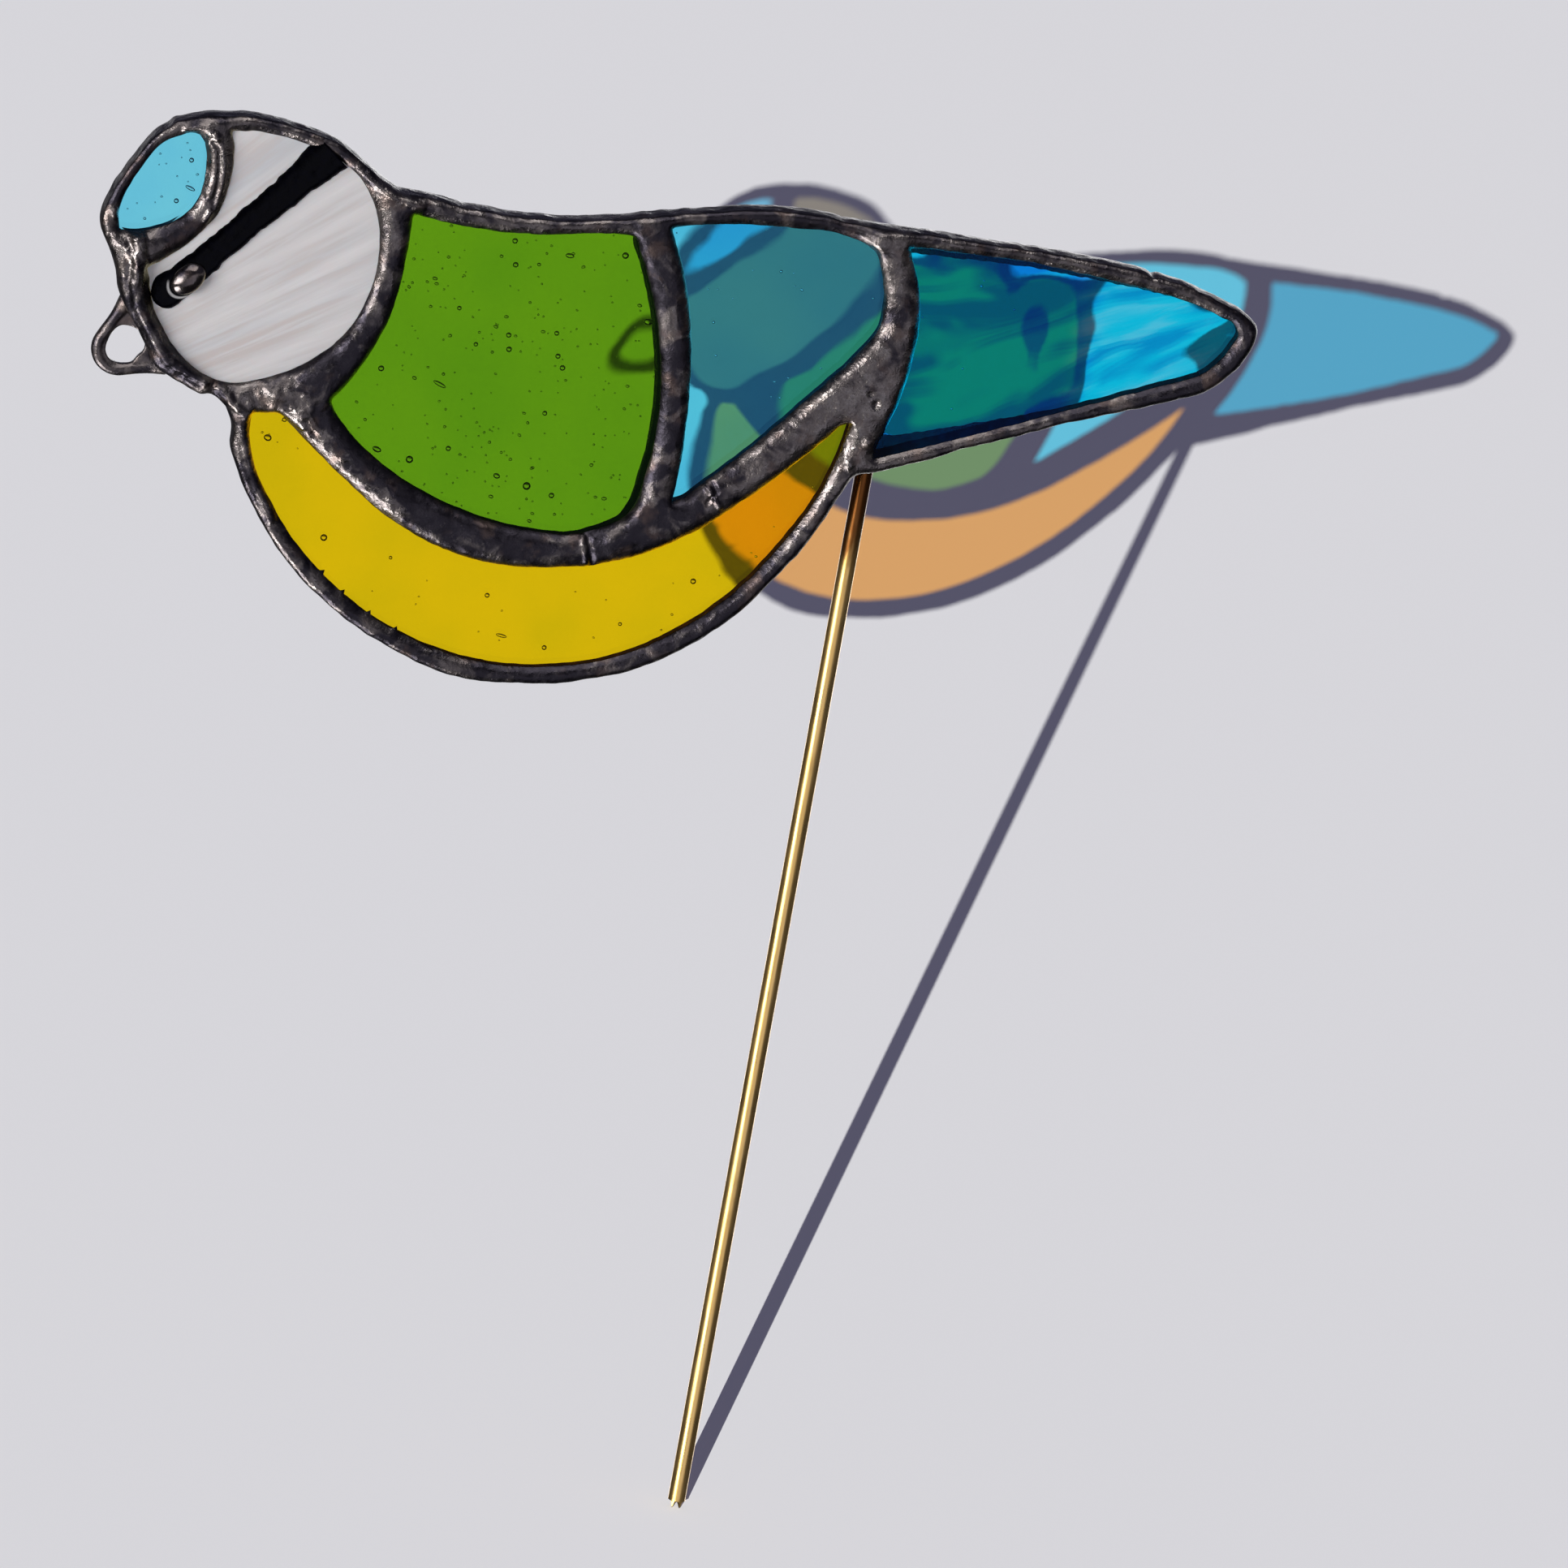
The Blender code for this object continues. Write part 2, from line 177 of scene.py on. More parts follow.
# A material and the nodes that it is made of
class Finish:
    def __init__(self, name, owners=bpy.data.materials, output="OutputMaterial"):
        self.material = owners.new(name)
        self.material.use_nodes = True
        self.tree = self.material.node_tree
        self.tree.nodes.clear()
        self.output = output

    def node(self, kind, settings=None, inputs=(), output=0):
        made = self.tree.nodes.new("ShaderNode" + kind)
        for name, value in (settings or {}).items():
            setattr(made, name, value)
        pairs = inputs.items() if isinstance(inputs, dict) else enumerate(inputs)
        for key, value in pairs:
            if isinstance(value, Link):
                self.tree.links.new(value.socket, made.inputs[key])
            elif isinstance(value, tuple) and made.inputs[key].type == "RGBA":
                made.inputs[key].default_value = (*value, 1)
            else:
                made.inputs[key].default_value = value
        return Link(self, made.outputs[output])

    # Object coordinates in mm
    def place(self, scale=(1, 1, 1), turn=0.0, shift=(0, 0, 0)):
        here = self.node("TexCoord", output="Object")
        inMm = self.node("VectorMath", {"operation": "SCALE"}, {"Vector": here, "Scale": 1 / mm})
        moved = self.node("VectorMath", {"operation": "SUBTRACT"}, (inMm, shift))
        turned = self.node("VectorRotate", {"rotation_type": "Y_AXIS"}, {"Vector": moved, "Angle": turn})
        return self.node("VectorMath", {"operation": "MULTIPLY"}, (turned, scale))

    def cloud(self, vector, size, detail=3.0, rough=0.5, bend=0.0):
        inputs = {"Vector": vector, "Scale": 1 / size, "Detail": detail, "Roughness": rough}
        return self.node("TexNoise", None, {**inputs, "Distortion": bend})

    def blend(self, share, first, second):
        return self.node("Mix", {"data_type": "RGBA"}, {"Factor": share, 6: first, 7: second}, output=2)

    def skin(self, inputs):
        return self.node("BsdfPrincipled", None, inputs)

    def parts(self, vector):
        split = self.node("SeparateXYZ", None, (vector,)).socket.node
        return [Link(self, socket) for socket in split.outputs]

    # Coordinates that fan out from one point: along each ray, and across the rays
    def fan(self, pivot, reach, stretch):
        x, _, z = self.parts(self.place(shift=(pivot[0], 0, pivot[1])))
        angle = x.maths("ARCTAN2", z, x.maths("ABSOLUTE", x))
        return self.node("CombineXYZ", None, ((x * x + z * z) ** 0.5 / stretch, angle * reach, 0.0))

    def bump(self, height, depth, normal=None):
        inputs = {"Height": height, "Distance": depth * mm, "Strength": 1.0}
        if normal:
            inputs["Normal"] = normal
        return self.node("Bump", None, inputs)

    def finished(self, surface):
        out = self.tree.nodes.new("ShaderNode" + self.output)
        self.tree.links.new(surface.socket, out.inputs["Surface"])
        return self.material


# A mesh object from points in mm, riding with the frame. Its faces take the first material,
# and those from secondFrom on the second.
def makePiece(name, points, faces, materials, slot, nodes, secondFrom=math.inf):
    mesh = bpy.data.meshes.new(name)
    mesh.from_pydata([tuple(c * mm for c in p) for p in points], [], faces)
    mesh.update()
    for material in materials:
        mesh.materials.append(material)
    second = np.arange(len(faces)) >= secondFrom
    mesh.polygons.foreach_set("material_index", second.astype(np.int32))
    mesh.shade_smooth()
    piece = bpy.data.objects.new(name, mesh)
    bpy.context.collection.objects.link(piece)
    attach(piece, "root")
    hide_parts(*nodes)
    print(name, len(points), "points,", len(faces), "faces")
    return piece


# Four-sided faces between closed rows of points, each row given by the number of its first point
def rowFaces(rows, count, turned=False):
    faces = []
    for low, high in zip(rows, rows[1:]):
        for i in range(count):
            j = (i + 1) % count
            if turned:
                faces.append((low + i, low + j, high + j, high + i))
            else:
                faces.append((low + i, high + i, high + j, low + j))
    return faces


# The camera stands where the photograph was taken from, with a long lens
view = {
    "azimuth": -8.0,
    "elevation": 13.0,
    "roll": 10.33,
    "distance": 2.0,
    "lookAt": Vector((-0.00236, 0.00175, 0.08593)),
    "lens": 402.7,
    "sensor": 36.0,
    "near": 0.05,
    "far": 60.0,
}


def makeCamera():
    camera = bpy.data.cameras.new("camera")
    camera.lens = view["lens"]
    camera.sensor_width = view["sensor"]
    camera.clip_start = view["near"]
    camera.clip_end = view["far"]
    rig = bpy.data.objects.new("camera", camera)
    bpy.context.collection.objects.link(rig)
    tilt = Euler((math.radians(90 - view["elevation"]), 0, math.radians(view["azimuth"])))
    turn = tilt.to_matrix() @ Matrix.Rotation(math.radians(view["roll"]), 3, "Z")
    back = turn @ Vector((0, 0, 1))
    rig.matrix_world = Matrix.Translation(view["lookAt"] + back * view["distance"]) @ turn.to_4x4()
    bpy.context.scene.camera = rig


# Clear coloured glass. A lamp's light goes through it with a plain tint.
def clearGlass(finish, colour, lampTint, normal=None):
    inputs = {"Base Color": colour, "Roughness": 0.0, "IOR": 1.5, "Specular IOR Level": 0.2}
    inputs["Transmission Weight"] = 1.0
    if normal:
        inputs["Normal"] = normal
    return finish.finished(letLightBy(finish, finish.skin(inputs), lampTint))


# Both faces of a pane tint a lamp's light, so each takes the square root
def letLightBy(finish, skin, lampTint):
    lampSide = finish.node("BsdfTransparent", None, {"Color": tuple(math.sqrt(c) for c in lampTint)})
    shadow = finish.node("LightPath", output="Is Shadow Ray")
    return finish.node("MixShader", None, {0: shadow, 1: skin, 2: lampSide})


glassColours = {
    "cap": (0.22, 0.84, 1.0),
    "back": (0.16, 0.44, 0.006),
    "wing": (0.13, 0.82, 1.0),
    "belly": (1.0, 0.69, 0.001),
    "tail": (0.008, 0.70, 1.0),
}

# What a lamp's light keeps behind each pane
lampTints = {
    "cap": (0.12, 0.58, 0.85),
    "back": (0.12, 0.32, 0.0),
    "wing": (0.06, 0.74, 1.0),
    "belly": (1.0, 0.46, 0.0),
    "tail": (0.0, 0.48, 0.74),
    "face": (0.26, 0.23, 0.11),
}


def shaded(colour, shares):
    return tuple(c * share for c, share in zip(colour, shares))


# Lightly waved glass: the sizes of its waves and of its deeper clouds, and how deep those are
waved = {
    "cap": {"name": "sky blue glass", "waves": 6.0, "clouds": 8.0, "deeper": 0.92},
    "back": {"name": "leaf green glass", "waves": 9.0, "clouds": 14.0, "deeper": 0.93},
    "wing": {"name": "wing blue glass", "waves": 9.0, "clouds": 12.0, "deeper": 0.88},
    "belly": {"name": "amber glass", "waves": 9.0, "clouds": 10.0, "deeper": 0.94},
}


def waveredGlass(pane):
    kind = waved[pane]
    finish = Finish(kind["name"])
    here = finish.place()
    cloud = finish.cloud(here, kind["clouds"], detail=2.0)
    deeper = shaded(glassColours[pane], (kind["deeper"] ** 2, kind["deeper"], 1.0))
    tone = finish.blend(cloud.between(0.3, 0.7), deeper, glassColours[pane])
    wave = finish.bump(finish.cloud(here, kind["waves"], detail=1.0), 0.03)
    return clearGlass(finish, tone, lampTints[pane], wave)


# The tail's glass is combed: its streaks run together towards the tip. Its colour is painted darker away
# from the tip and paler near it, as painted shade and painted light for the shadow and the lit floor seen
# through it, and its streaks near the tip are painted pale for the ripples of light seen through them
comb = {
    "meet": (66.0, 164.0),
    "reach": 50.0,
    "stretch": 5.0,
    "tipFrom": (19.0, 24.0),
    "streaksTo": (38.0, 30.0),
    "litStreak": (0.50, 0.97, 1.0),
    # Shares of the pane's colour, before the tip and near it; the paler ones near the tip are painted
    # light
    "deep": [(0.2, 0.42, 0.95), (0.2, 0.72, 0.80)],
    "clear": [(1.0, 1.0, 1.0), (1.5, 1.30, 1.0)],
}


def combedGlass():
    finish = Finish("combed blue glass")
    fan = finish.fan(comb["meet"], comb["reach"], comb["stretch"])
    flame = finish.cloud(fan, 3.4, detail=2.5, bend=1.2)
    fine = finish.cloud(fan, 1.3, detail=2.5, bend=0.4)
    across = finish.parts(finish.place())[0]
    nearTip = across.between(*comb["tipFrom"])
    deep, clear = (
        finish.blend(nearTip, *(shaded(glassColours["tail"], shares) for shares in comb[kind]))
        for kind in ("deep", "clear")
    )
    # The paler tone near the tip is painted light, the darker one before it painted shade
    tone = finish.blend((flame - 0.04 + nearTip * 0.10).between(0.44, 0.60), deep, clear)
    # Pale streaks near the tip: the glass's own streaks, painted brighter for the ripples of light seen
    # through them
    streaks = (flame * 0.5 + fine * 0.5).between(0.49, 0.64) * nearTip
    tone = finish.blend(streaks * across.between(*comb["streaksTo"]), tone, comb["litStreak"])
    wave = finish.bump(finish.cloud(fan, 7.0, detail=0.0), 0.035)
    return clearGlass(finish, tone, lampTints["tail"], wave)


# The opal glass: wisps of milk that fan up and back from the beak
opal = {
    "meet": (-127.0, 95.0),
    "reach": 72.0,
    "stretch": 14.0,
    "milk": [(0.525, 0.505, 0.495), (0.65, 0.625, 0.61)],
    "wisp": (0.73, 0.72, 0.71),
    "blue": (0.46, 0.49, 0.52),
    "rose": (0.58, 0.47, 0.42),
}


def opalGlass():
    finish = Finish("streaky opal glass")
    fan = finish.fan(opal["meet"], opal["reach"], opal["stretch"])
    wide = finish.cloud(fan, 2.6, bend=0.6)
    thin = finish.cloud(fan, 1.0, detail=4.0, rough=0.62, bend=0.3)
    band = finish.cloud(fan, 5.0, detail=2.0, bend=0.4)
    tone = finish.blend(wide.between(0.3, 0.7), *opal["milk"])
    tone = finish.blend(thin.between(0.42, 0.70) * 0.4, tone, opal["wisp"])
    tone = finish.blend(band.between(0.50, 0.70) * 0.5, tone, opal["blue"])
    tone = finish.blend((wide * 0.5 + thin * 0.5).between(0.50, 0.38) * 0.3, tone, opal["rose"])
    skin = finish.skin({
        "Base Color": tone,
        "Roughness": 0.25,
        "IOR": 1.45,
        "Specular IOR Level": 0.3,
        "Subsurface Weight": 0.15,
        "Subsurface Scale": 0.002,
        "Normal": finish.bump(wide, 0.05),
    })
    return finish.finished(letLightBy(finish, skin, lampTints["face"]))


# Solder under a black patina: near black where it took, grey where it is thin, and lighter or darker where
# its wear lines paint sheen, highlights or shade
patina = {
    "dark": (0.018, 0.016, 0.020),
    "middle": (0.074, 0.064, 0.062),
    "pewter": (0.17, 0.155, 0.145),
    "bronze": (0.085, 0.058, 0.046),
}


def blackSolder(name, wear=0.0, relief=1.0, rough=(0.43, 0.25)):
    finish = Finish(name)
    here = finish.place()
    mottle = finish.cloud(here, 2.9, bend=0.8)
    slow = finish.cloud(here, 8.0, detail=2.0)
    spots = finish.cloud(here, 0.9, rough=0.6)
    grain = finish.cloud(here, 0.28, detail=2.0)
    # The wear mark also carries painted sheen, painted highlights and painted shade along some lines
    crest, wearSheenAndShade = (
        finish.node("Attribute", {"attribute_name": mark}, output="Fac") for mark in ("crest", "wearSheenAndShade")
    )
    thin = mottle * 0.6 + slow * 0.25 + spots * 0.15 + wearSheenAndShade * 0.15 + (wear - 0.03)
    tone = finish.blend(thin.between(0.46, 0.60), patina["dark"], patina["middle"])
    bare = (spots * 0.4 + grain * 0.2 + mottle * 0.4 + crest * 0.04 + wearSheenAndShade * 0.08).between(0.56, 0.74)
    tone = finish.blend(bare * 0.55, tone, patina["pewter"])
    stain = finish.cloud(here, 3.1).between(0.52, 0.70) * 0.4
    tone = finish.blend(stain, tone, patina["bronze"])
    shine = spots.between(0.3, 0.75, *rough) - wearSheenAndShade * 0.06
    pits = finish.bump(spots * (wearSheenAndShade * 0.8 + 1.0), 0.08 * relief, finish.bump(mottle, 0.05 * relief))
    pits = finish.bump(grain * mottle.between(0.40, 0.62), 0.035 * relief, pits)
    return finish.finished(finish.skin(
        {"Base Color": tone, "Metallic": 1.0, "Roughness": shine, "Normal": pits}
    ))


# The foil's stained face, seen through the glass
def darkFoil():
    finish = Finish("dark foil")
    stain = finish.cloud(finish.place(), 1.2)
    tone = finish.blend(stain.between(0.4, 0.7), (0.004, 0.005, 0.008), (0.012, 0.012, 0.016))
    return finish.finished(finish.skin({"Base Color": tone, "Roughness": 0.6, "Specular IOR Level": 0.1}))


# Gloss black, with a bare crescent of metal beside the bead
gloss = {
    "blacks": [(0.0005, 0.0005, 0.0015), (0.002, 0.002, 0.005)],
    "bare": (0.55, 0.54, 0.50),
    "bareGap": 0.15,
    "bareInner": (0.98, 1.04),
    "bareOuter": (1.17, 1.09),
    "bareEnds": (1.4, 2.0),
}


def glossBlack():
    finish = Finish("gloss black")
    grain = finish.cloud(finish.place(), 0.7, detail=4.0)
    turn = math.atan2(eye["top"][1] - eye["low"][1], eye["top"][0] - eye["low"][0])
    fromBead = finish.place(turn=turn, shift=(eye["bead"][0], 0, eye["bead"][1]))
    along, _, across = finish.parts(fromBead)
    long = along / (eye["beadLong"] + gloss["bareGap"])
    wide = across / (eye["beadWide"] + gloss["bareGap"])
    ring = (long * long + wide * wide) ** 0.5
    bare = ring.between(*gloss["bareInner"]) * ring.between(*gloss["bareOuter"])
    bare = bare * (along * -1.0 - across * 0.2).between(*gloss["bareEnds"])
    tone = finish.blend(bare, finish.blend(grain.between(0.4, 0.7), *gloss["blacks"]), gloss["bare"])
    return finish.finished(finish.skin({
        "Base Color": tone,
        "Roughness": grain.between(0.3, 0.7, 0.22, 0.4),
        "Specular IOR Level": 0.05,
        "Normal": finish.bump(grain, 0.05),
    }))


# Drawn brass, stained by flux and darker towards the bird
brass = {
    "bright": [(0.66, 0.42, 0.13), (0.74, 0.50, 0.19)],
    "stain": (0.38, 0.22, 0.06),
    "darkened": (0.11, 0.04, 0.01),
    "darkFrom": 105.0,
    "darkOver": 16.0,
}


def drawnBrass():
    finish = Finish("drawn brass")
    grain = finish.cloud(finish.place(scale=(1, 1, 0.02)), 0.22, detail=2.0)
    stain = finish.cloud(finish.place(scale=(1, 1, 0.3)), 2.2, detail=4.0, rough=0.6)
    height = finish.parts(finish.place())[2]
    tone = finish.blend(grain.between(0.35, 0.7), *brass["bright"])
    tone = finish.blend(stain.between(0.52, 0.75) * 0.5, tone, brass["stain"])
    darkened = (height - brass["darkFrom"]) / brass["darkOver"] + (stain - 0.5) * 1.4
    tone = finish.blend(darkened.between(0.2, 1.0), tone, brass["darkened"])
    return finish.finished(finish.skin({
        "Base Color": tone,
        "Metallic": 1.0,
        "Roughness": stain.between(0.3, 0.7, 0.26, 0.38),
        "Normal": finish.bump(grain, 0.008),
    }))


def paperFloor():
    finish = Finish("pale floor")
    skin = finish.node("BsdfDiffuse", None, {"Color": (0.84, 0.84, 0.87)})
    return finish.finished(skin)


# Rasters over the panel, for how far inside the metal a place is
sheet = {
    "pitch": 0.16,
    "low": (-95.0, 91.0),
    "high": (45.0, 158.0),
    "rounds": 160,
    "haste": 1.86,  # over-relaxation, under 2
    "edgePitch": 0.08,
}


# Which cells of the raster are inside a closed line
def insideCells(line):
    pitch = sheet["pitch"]
    x0, z0 = sheet["low"]
    columns, rows = sheetShape()
    toggles = np.zeros((rows, columns + 1), int)
    for (ax, az), (bx, bz) in zip(line, np.roll(line, -1, 0)):
        if az == bz:
            continue
        first = math.ceil((min(az, bz) - z0) / pitch)
        last = math.ceil((max(az, bz) - z0) / pitch)
        hit = np.arange(first, last)
        x = ax + (z0 + hit * pitch - az) * (bx - ax) / (bz - az)
        at = np.clip(np.ceil((x - x0) / pitch).astype(int), 0, columns)
        np.add.at(toggles, (hit, at), 1)
    return np.cumsum(toggles, 1)[:, :-1] % 2 == 1


def sheetShape():
    size = [(h - l) / sheet["pitch"] for l, h in zip(sheet["low"], sheet["high"])]
    return math.ceil(size[0]), math.ceil(size[1])


def metalCells(outer, holes):
    metal = insideCells(outer)
    for hole in holes:
        metal &= ~insideCells(hole)
    return metal


# How a skin would swell over the metal if it were held down at every edge
def swelling(metal):
    parity = np.add.outer(*(np.arange(n) for n in metal.shape)) % 2
    halves = [(metal & (parity == k))[1:-1, 1:-1] for k in (0, 1)]
    swell = np.zeros(metal.shape)
    load = sheet["pitch"] ** 2
    core = swell[1:-1, 1:-1]
    for _ in range(sheet["rounds"]):
        for half in halves:
            around = swell[:-2, 1:-1] + swell[2:, 1:-1] + swell[1:-1, :-2] + swell[1:-1, 2:]
            core += sheet["haste"] * half * ((around + load) / 4 - core)
    return np.maximum(swell, 0)


# The raster's values at points between its cells
def sampled(raster, points):
    at = (points - np.array(sheet["low"])) / sheet["pitch"]
    low = np.floor(at).astype(int)
    part = at - low
    x, z = low[:, 0], low[:, 1]
    fx, fz = part[:, 0], part[:, 1]
    bottom = raster[z, x] * (1 - fx) + raster[z, x + 1] * fx
    top = raster[z + 1, x] * (1 - fx) + raster[z + 1, x + 1] * fx
    return bottom * (1 - fz) + top * fz


# The nearest place on some closed lines to each point, and how far off it is
def nearest(lines, points):
    dense = np.vstack([evenLine(line, sheet["edgePitch"]) for line in lines])
    tree = kdtree.KDTree(len(dense))
    for i, (x, z) in enumerate(dense):
        tree.insert((x, z, 0), i)
    tree.balance()
    found = [tree.find((x, z, 0)) for x, z in points]
    return dense[[at for _, at, _ in found]], np.array([reach for _, _, reach in found])


def reachTo(lines, points):
    return nearest(lines, points)[1]


# How far each point is from an open line, or from a single place
def nearLine(points, line):
    line = np.array(line, float)
    if len(line) == 1:
        return np.linalg.norm(points - line[0], axis=1)
    best = np.full(len(points), 1e9)
    for a, b in zip(line, line[1:]):
        run = b - a
        t = np.clip((points - a) @ run / (run @ run), 0, 1)
        best = np.minimum(best, np.linalg.norm(points - a - t[:, None] * run, axis=1))
    return best


# The seam from the chin down between back and belly
chinSeam = [(-66.0, 120.6), (-62.4, 118.0), (-58.4, 115.0), (-53.0, 112.0)]

# The solder: sizes of its domes and of what the iron left in them
solder = {
    "crest": 1.35,
    "crestBack": 1.1,
    "sideCrest": 0.35,  # how much the sides count as crest for the wear
    "fill": 0.55,
    "lowest": 0.012,
    "touch": 0.02,  # the lips stop this far off the glass
    "lipRound": 0.5,
    "lipShoulder": 0.14,
    "rimSpread": 0.9,
    "rimRound": 0.85,
    "rimBulge": 0.12,
    "rimLumps": 0.1,
    "rimLumpSize": (1.8, 1.2),  # over the panel and through its depth
    "rimLevels": 8,
    "grooveGap": 0.16,
    "pitch": 0.26,
    "pitchBack": 0.42,
    # Close rows of points beside the rim and the openings, and how far off they are
    "rimRows": [-0.05, -0.15, -0.32],
    "windowRows": [0.06, 0.17],
    # Heights, sizes and seeds of its lumps
    "windowShake": [(0.09, 2.6, 3.1), (0.05, 0.9, 7.7)],
    "rimShake": [(0.16, 4.5, 11.3), (0.10, 1.5, 17.9)],
    "lumps": [(0.15, 3.4, 23.1), (0.11, 1.5, 29.5), (0.02, 0.6, 31.7)],
    "backShake": [(0.06, 2.2, 53.3)],
    "scarShake": [(0.16, 0.85, 37.9)],
    # Rough places: a line and its reach
    "scars": [
        ([(-71.0, 121.8), (-66.0, 123.5), (-62.0, 121.0)], 3.4),
        (chinSeam, 2.6),
        ([(-80.0, 125.5), (-74.0, 122.5)], 2.5),
        ([(-87.0, 138.5), (-85.5, 135.0)], 2.4),
    ],
    # Drops and nicks of the rim: x, z, reach and how far out
    "nicks": [
        (-76.5, 122.2, 0.7, 0.5), (27.8, 152.4, 0.35, -0.3), (-3.0, 150.9, 0.5, 0.3),
        (-84.5, 152.6, 0.6, 0.25), (-70.0, 120.0, 0.8, 0.25), (-31.0, 93.6, 0.7, 0.2),
        (12.0, 152.5, 0.6, 0.2), (-62.0, 108.0, 0.8, 0.2),
    ],
    # Rounded ridges and hollows: their lines, half widths and heights, and how far from an opening
    # they reach their full height
    "ridgeStart": 0.4,
    "ridges": [
        ([(-86.6, 139.2), (-86.0, 136.7), (-85.9, 133.6), (-85.2, 131.5), (-83.4, 128.9), (-82.2, 127.2),
          (-80.8, 125.8), (-78.5, 124.9), (-76.4, 124.3)], 0.85, 0.75),
        ([(-89.6, 141.4), (-88.3, 140.4), (-87.0, 138.9)], 0.55, 0.4),
        ([(-80.6, 151.2), (-79.8, 150.2), (-79.4, 148.6), (-79.2, 147.0), (-79.5, 145.2)], 0.6, 0.3),
        ([(-79.9, 151.9), (-79.0, 150.5), (-78.4, 148.8), (-78.3, 146.7), (-78.7, 144.1), (-79.4, 142.1)],
         0.4, 0.25),
        ([(-80.1, 151.1), (-79.3, 150.5), (-78.9, 148.2), (-78.7, 146.1), (-78.9, 143.6)], 0.25, -0.3),
        ([(-83.2, 152.0), (-82.0, 152.6), (-80.9, 152.5), (-79.8, 151.7)], 0.5, 0.3),
        ([(-89.3, 138.7), (-88.3, 138.1), (-87.3, 137.1), (-86.3, 136.2)], 0.45, 0.3),
        ([(-71.3, 120.0), (-70.2, 116.4), (-68.5, 112.9), (-66.3, 109.4)], 0.6, 0.3),
        ([(-70.9, 120.6), (-72.6, 121.6), (-74.6, 123.4)], 0.55, 0.4),
        ([(-31.3, 113.0), (-30.7, 111.2), (-30.0, 109.2)], 0.28, 0.22),
        ([(-30.6, 113.0), (-30.0, 111.2), (-29.3, 109.2)], 0.30, -0.30),
        ([(-18.9, 121.0), (-17.8, 120.2), (-16.4, 118.5)], 0.28, 0.35),
        ([(-17.9, 118.7), (-17.0, 120.1), (-17.6, 121.0)], 0.25, -0.25),
        ([(-63.4, 150.4), (-59.4, 148.4), (-55.6, 147.4)], 0.5, 0.25),
    ],
    # Drops and dents: x, z, reach and height
    "drops": [
        (-3.8, 151.3, 2.4, 0.40), (-64.9, 121.4, 1.5, 0.42), (-68.4, 123.4, 1.7, 0.35),
        (-27.6, 112.5, 2.4, 0.25), (-0.9, 128.4, 1.2, 0.40), (-2.8, 125.6, 1.1, 0.35),
        (-76.4, 123.7, 1.5, 0.35), (-58.6, 139.6, 1.6, 0.20), (-61.4, 131.0, 1.6, 0.22),
        (-0.9, 132.9, 0.6, -0.35), (-1.8, 134.1, 0.5, -0.25),
    ],
    # Where the patina is thin, or below 0 heavy: a line, its reach and how thin. Some lines paint light
    # instead: painted sheen along the top rim, painted highlights along the chin seam and the belly's
    # lower left rim, and painted shade on the low seam's upper side
    "wearSheenAndShade": [
        ([(-2.0, 131.0)], 22.0, 1.0),
        ([(-72.0, 122.0)], 8.0, 0.4),
        ([(-79.5, 147.5)], 6.0, 1.0),
        ([(-60.0, 138.0)], 7.0, 0.6),
        ([(-88.0, 137.0)], 6.0, 0.8),
        ([(-28.0, 146.0), (-30.0, 122.0)], 3.0, -0.5),
        # Along the top rim: lighter metal as painted sheen
        ([(-60.0, 146.5), (-48.0, 150.0), (-34.0, 148.5)], 5.0, 0.8),
        ([(2.0, 152.0), (30.0, 150.5)], 5.0, 0.7),
        ([(-84.0, 151.5), (-72.0, 152.5), (-64.0, 148.0)], 5.0, 0.7),
        # Along the chin seam and the belly's lower left rim: lighter metal as painted highlights
        (chinSeam, 2.2, 1.0),
        ([(-72.2, 118.0), (-70.2, 113.0), (-65.2, 106.0), (-58.0, 100.0)], 1.8, 0.6),
        ([(-23.0, 115.0), (-12.0, 123.0)], 2.5, -0.2),
        # The low seam's upper side: heavy patina as painted shade
        ([(-59.0, 121.2), (-54.0, 117.6), (-48.0, 114.4), (-38.0, 111.8)], 3.0, -1.0),
    ],
    # Spikes of foil that reach into the openings, their length and half width, and how far off the
    # line they may be given
    "spikes": [(-59.3, 104.3), (-56.8, 102.3), (-54.0, 99.5), (-50.6, 97.6)],
    "spikeLong": 0.5,
    "spikeWide": 0.22,
    "spikeFinds": 1.2,
}


# Points on the metal of one face: its edges, close rows beside them, and an even field between
def faceField(rim, windows, pitch):
    metal = metalCells(rim, windows).astype(float)
    edges = [rim] + windows
    points = [np.vstack(edges)]
    for line in edges:
        for step in solder["rimRows"] if line is rim else solder["windowRows"]:
            row = line + outward(line) * step
            clear = reachTo(edges, row) > abs(step) * 0.75
            points.append(row[clear & (sampled(metal, row) > 0.3)])
    margin = 1.0
    rowGap = pitch * math.sqrt(3) / 2
    field = []
    for k, z in enumerate(np.arange(sheet["low"][1] + margin, sheet["high"][1] - margin, rowGap)):
        xs = np.arange(sheet["low"][0] + margin + (k % 2) * pitch / 2, sheet["high"][0] - margin, pitch)
        field.append(np.stack([xs, np.full(len(xs), z)], 1))
    field = np.vstack(field)
    field = field[sampled(metal, field) > 0.9]
    points.append(field[reachTo(edges, field) > solder["windowRows"][-1] + pitch * 0.6])
    return np.vstack(points)


def insideLine(point, line):
    after = np.roll(line, -1, 0)
    crosses = (line[:, 1] > point[1]) != (after[:, 1] > point[1])
    a, b = line[crosses], after[crosses]
    x = a[:, 0] + (point[1] - a[:, 1]) * (b[:, 0] - a[:, 0]) / (b[:, 1] - a[:, 1])
    return np.sum(x > point[0]) % 2 == 1


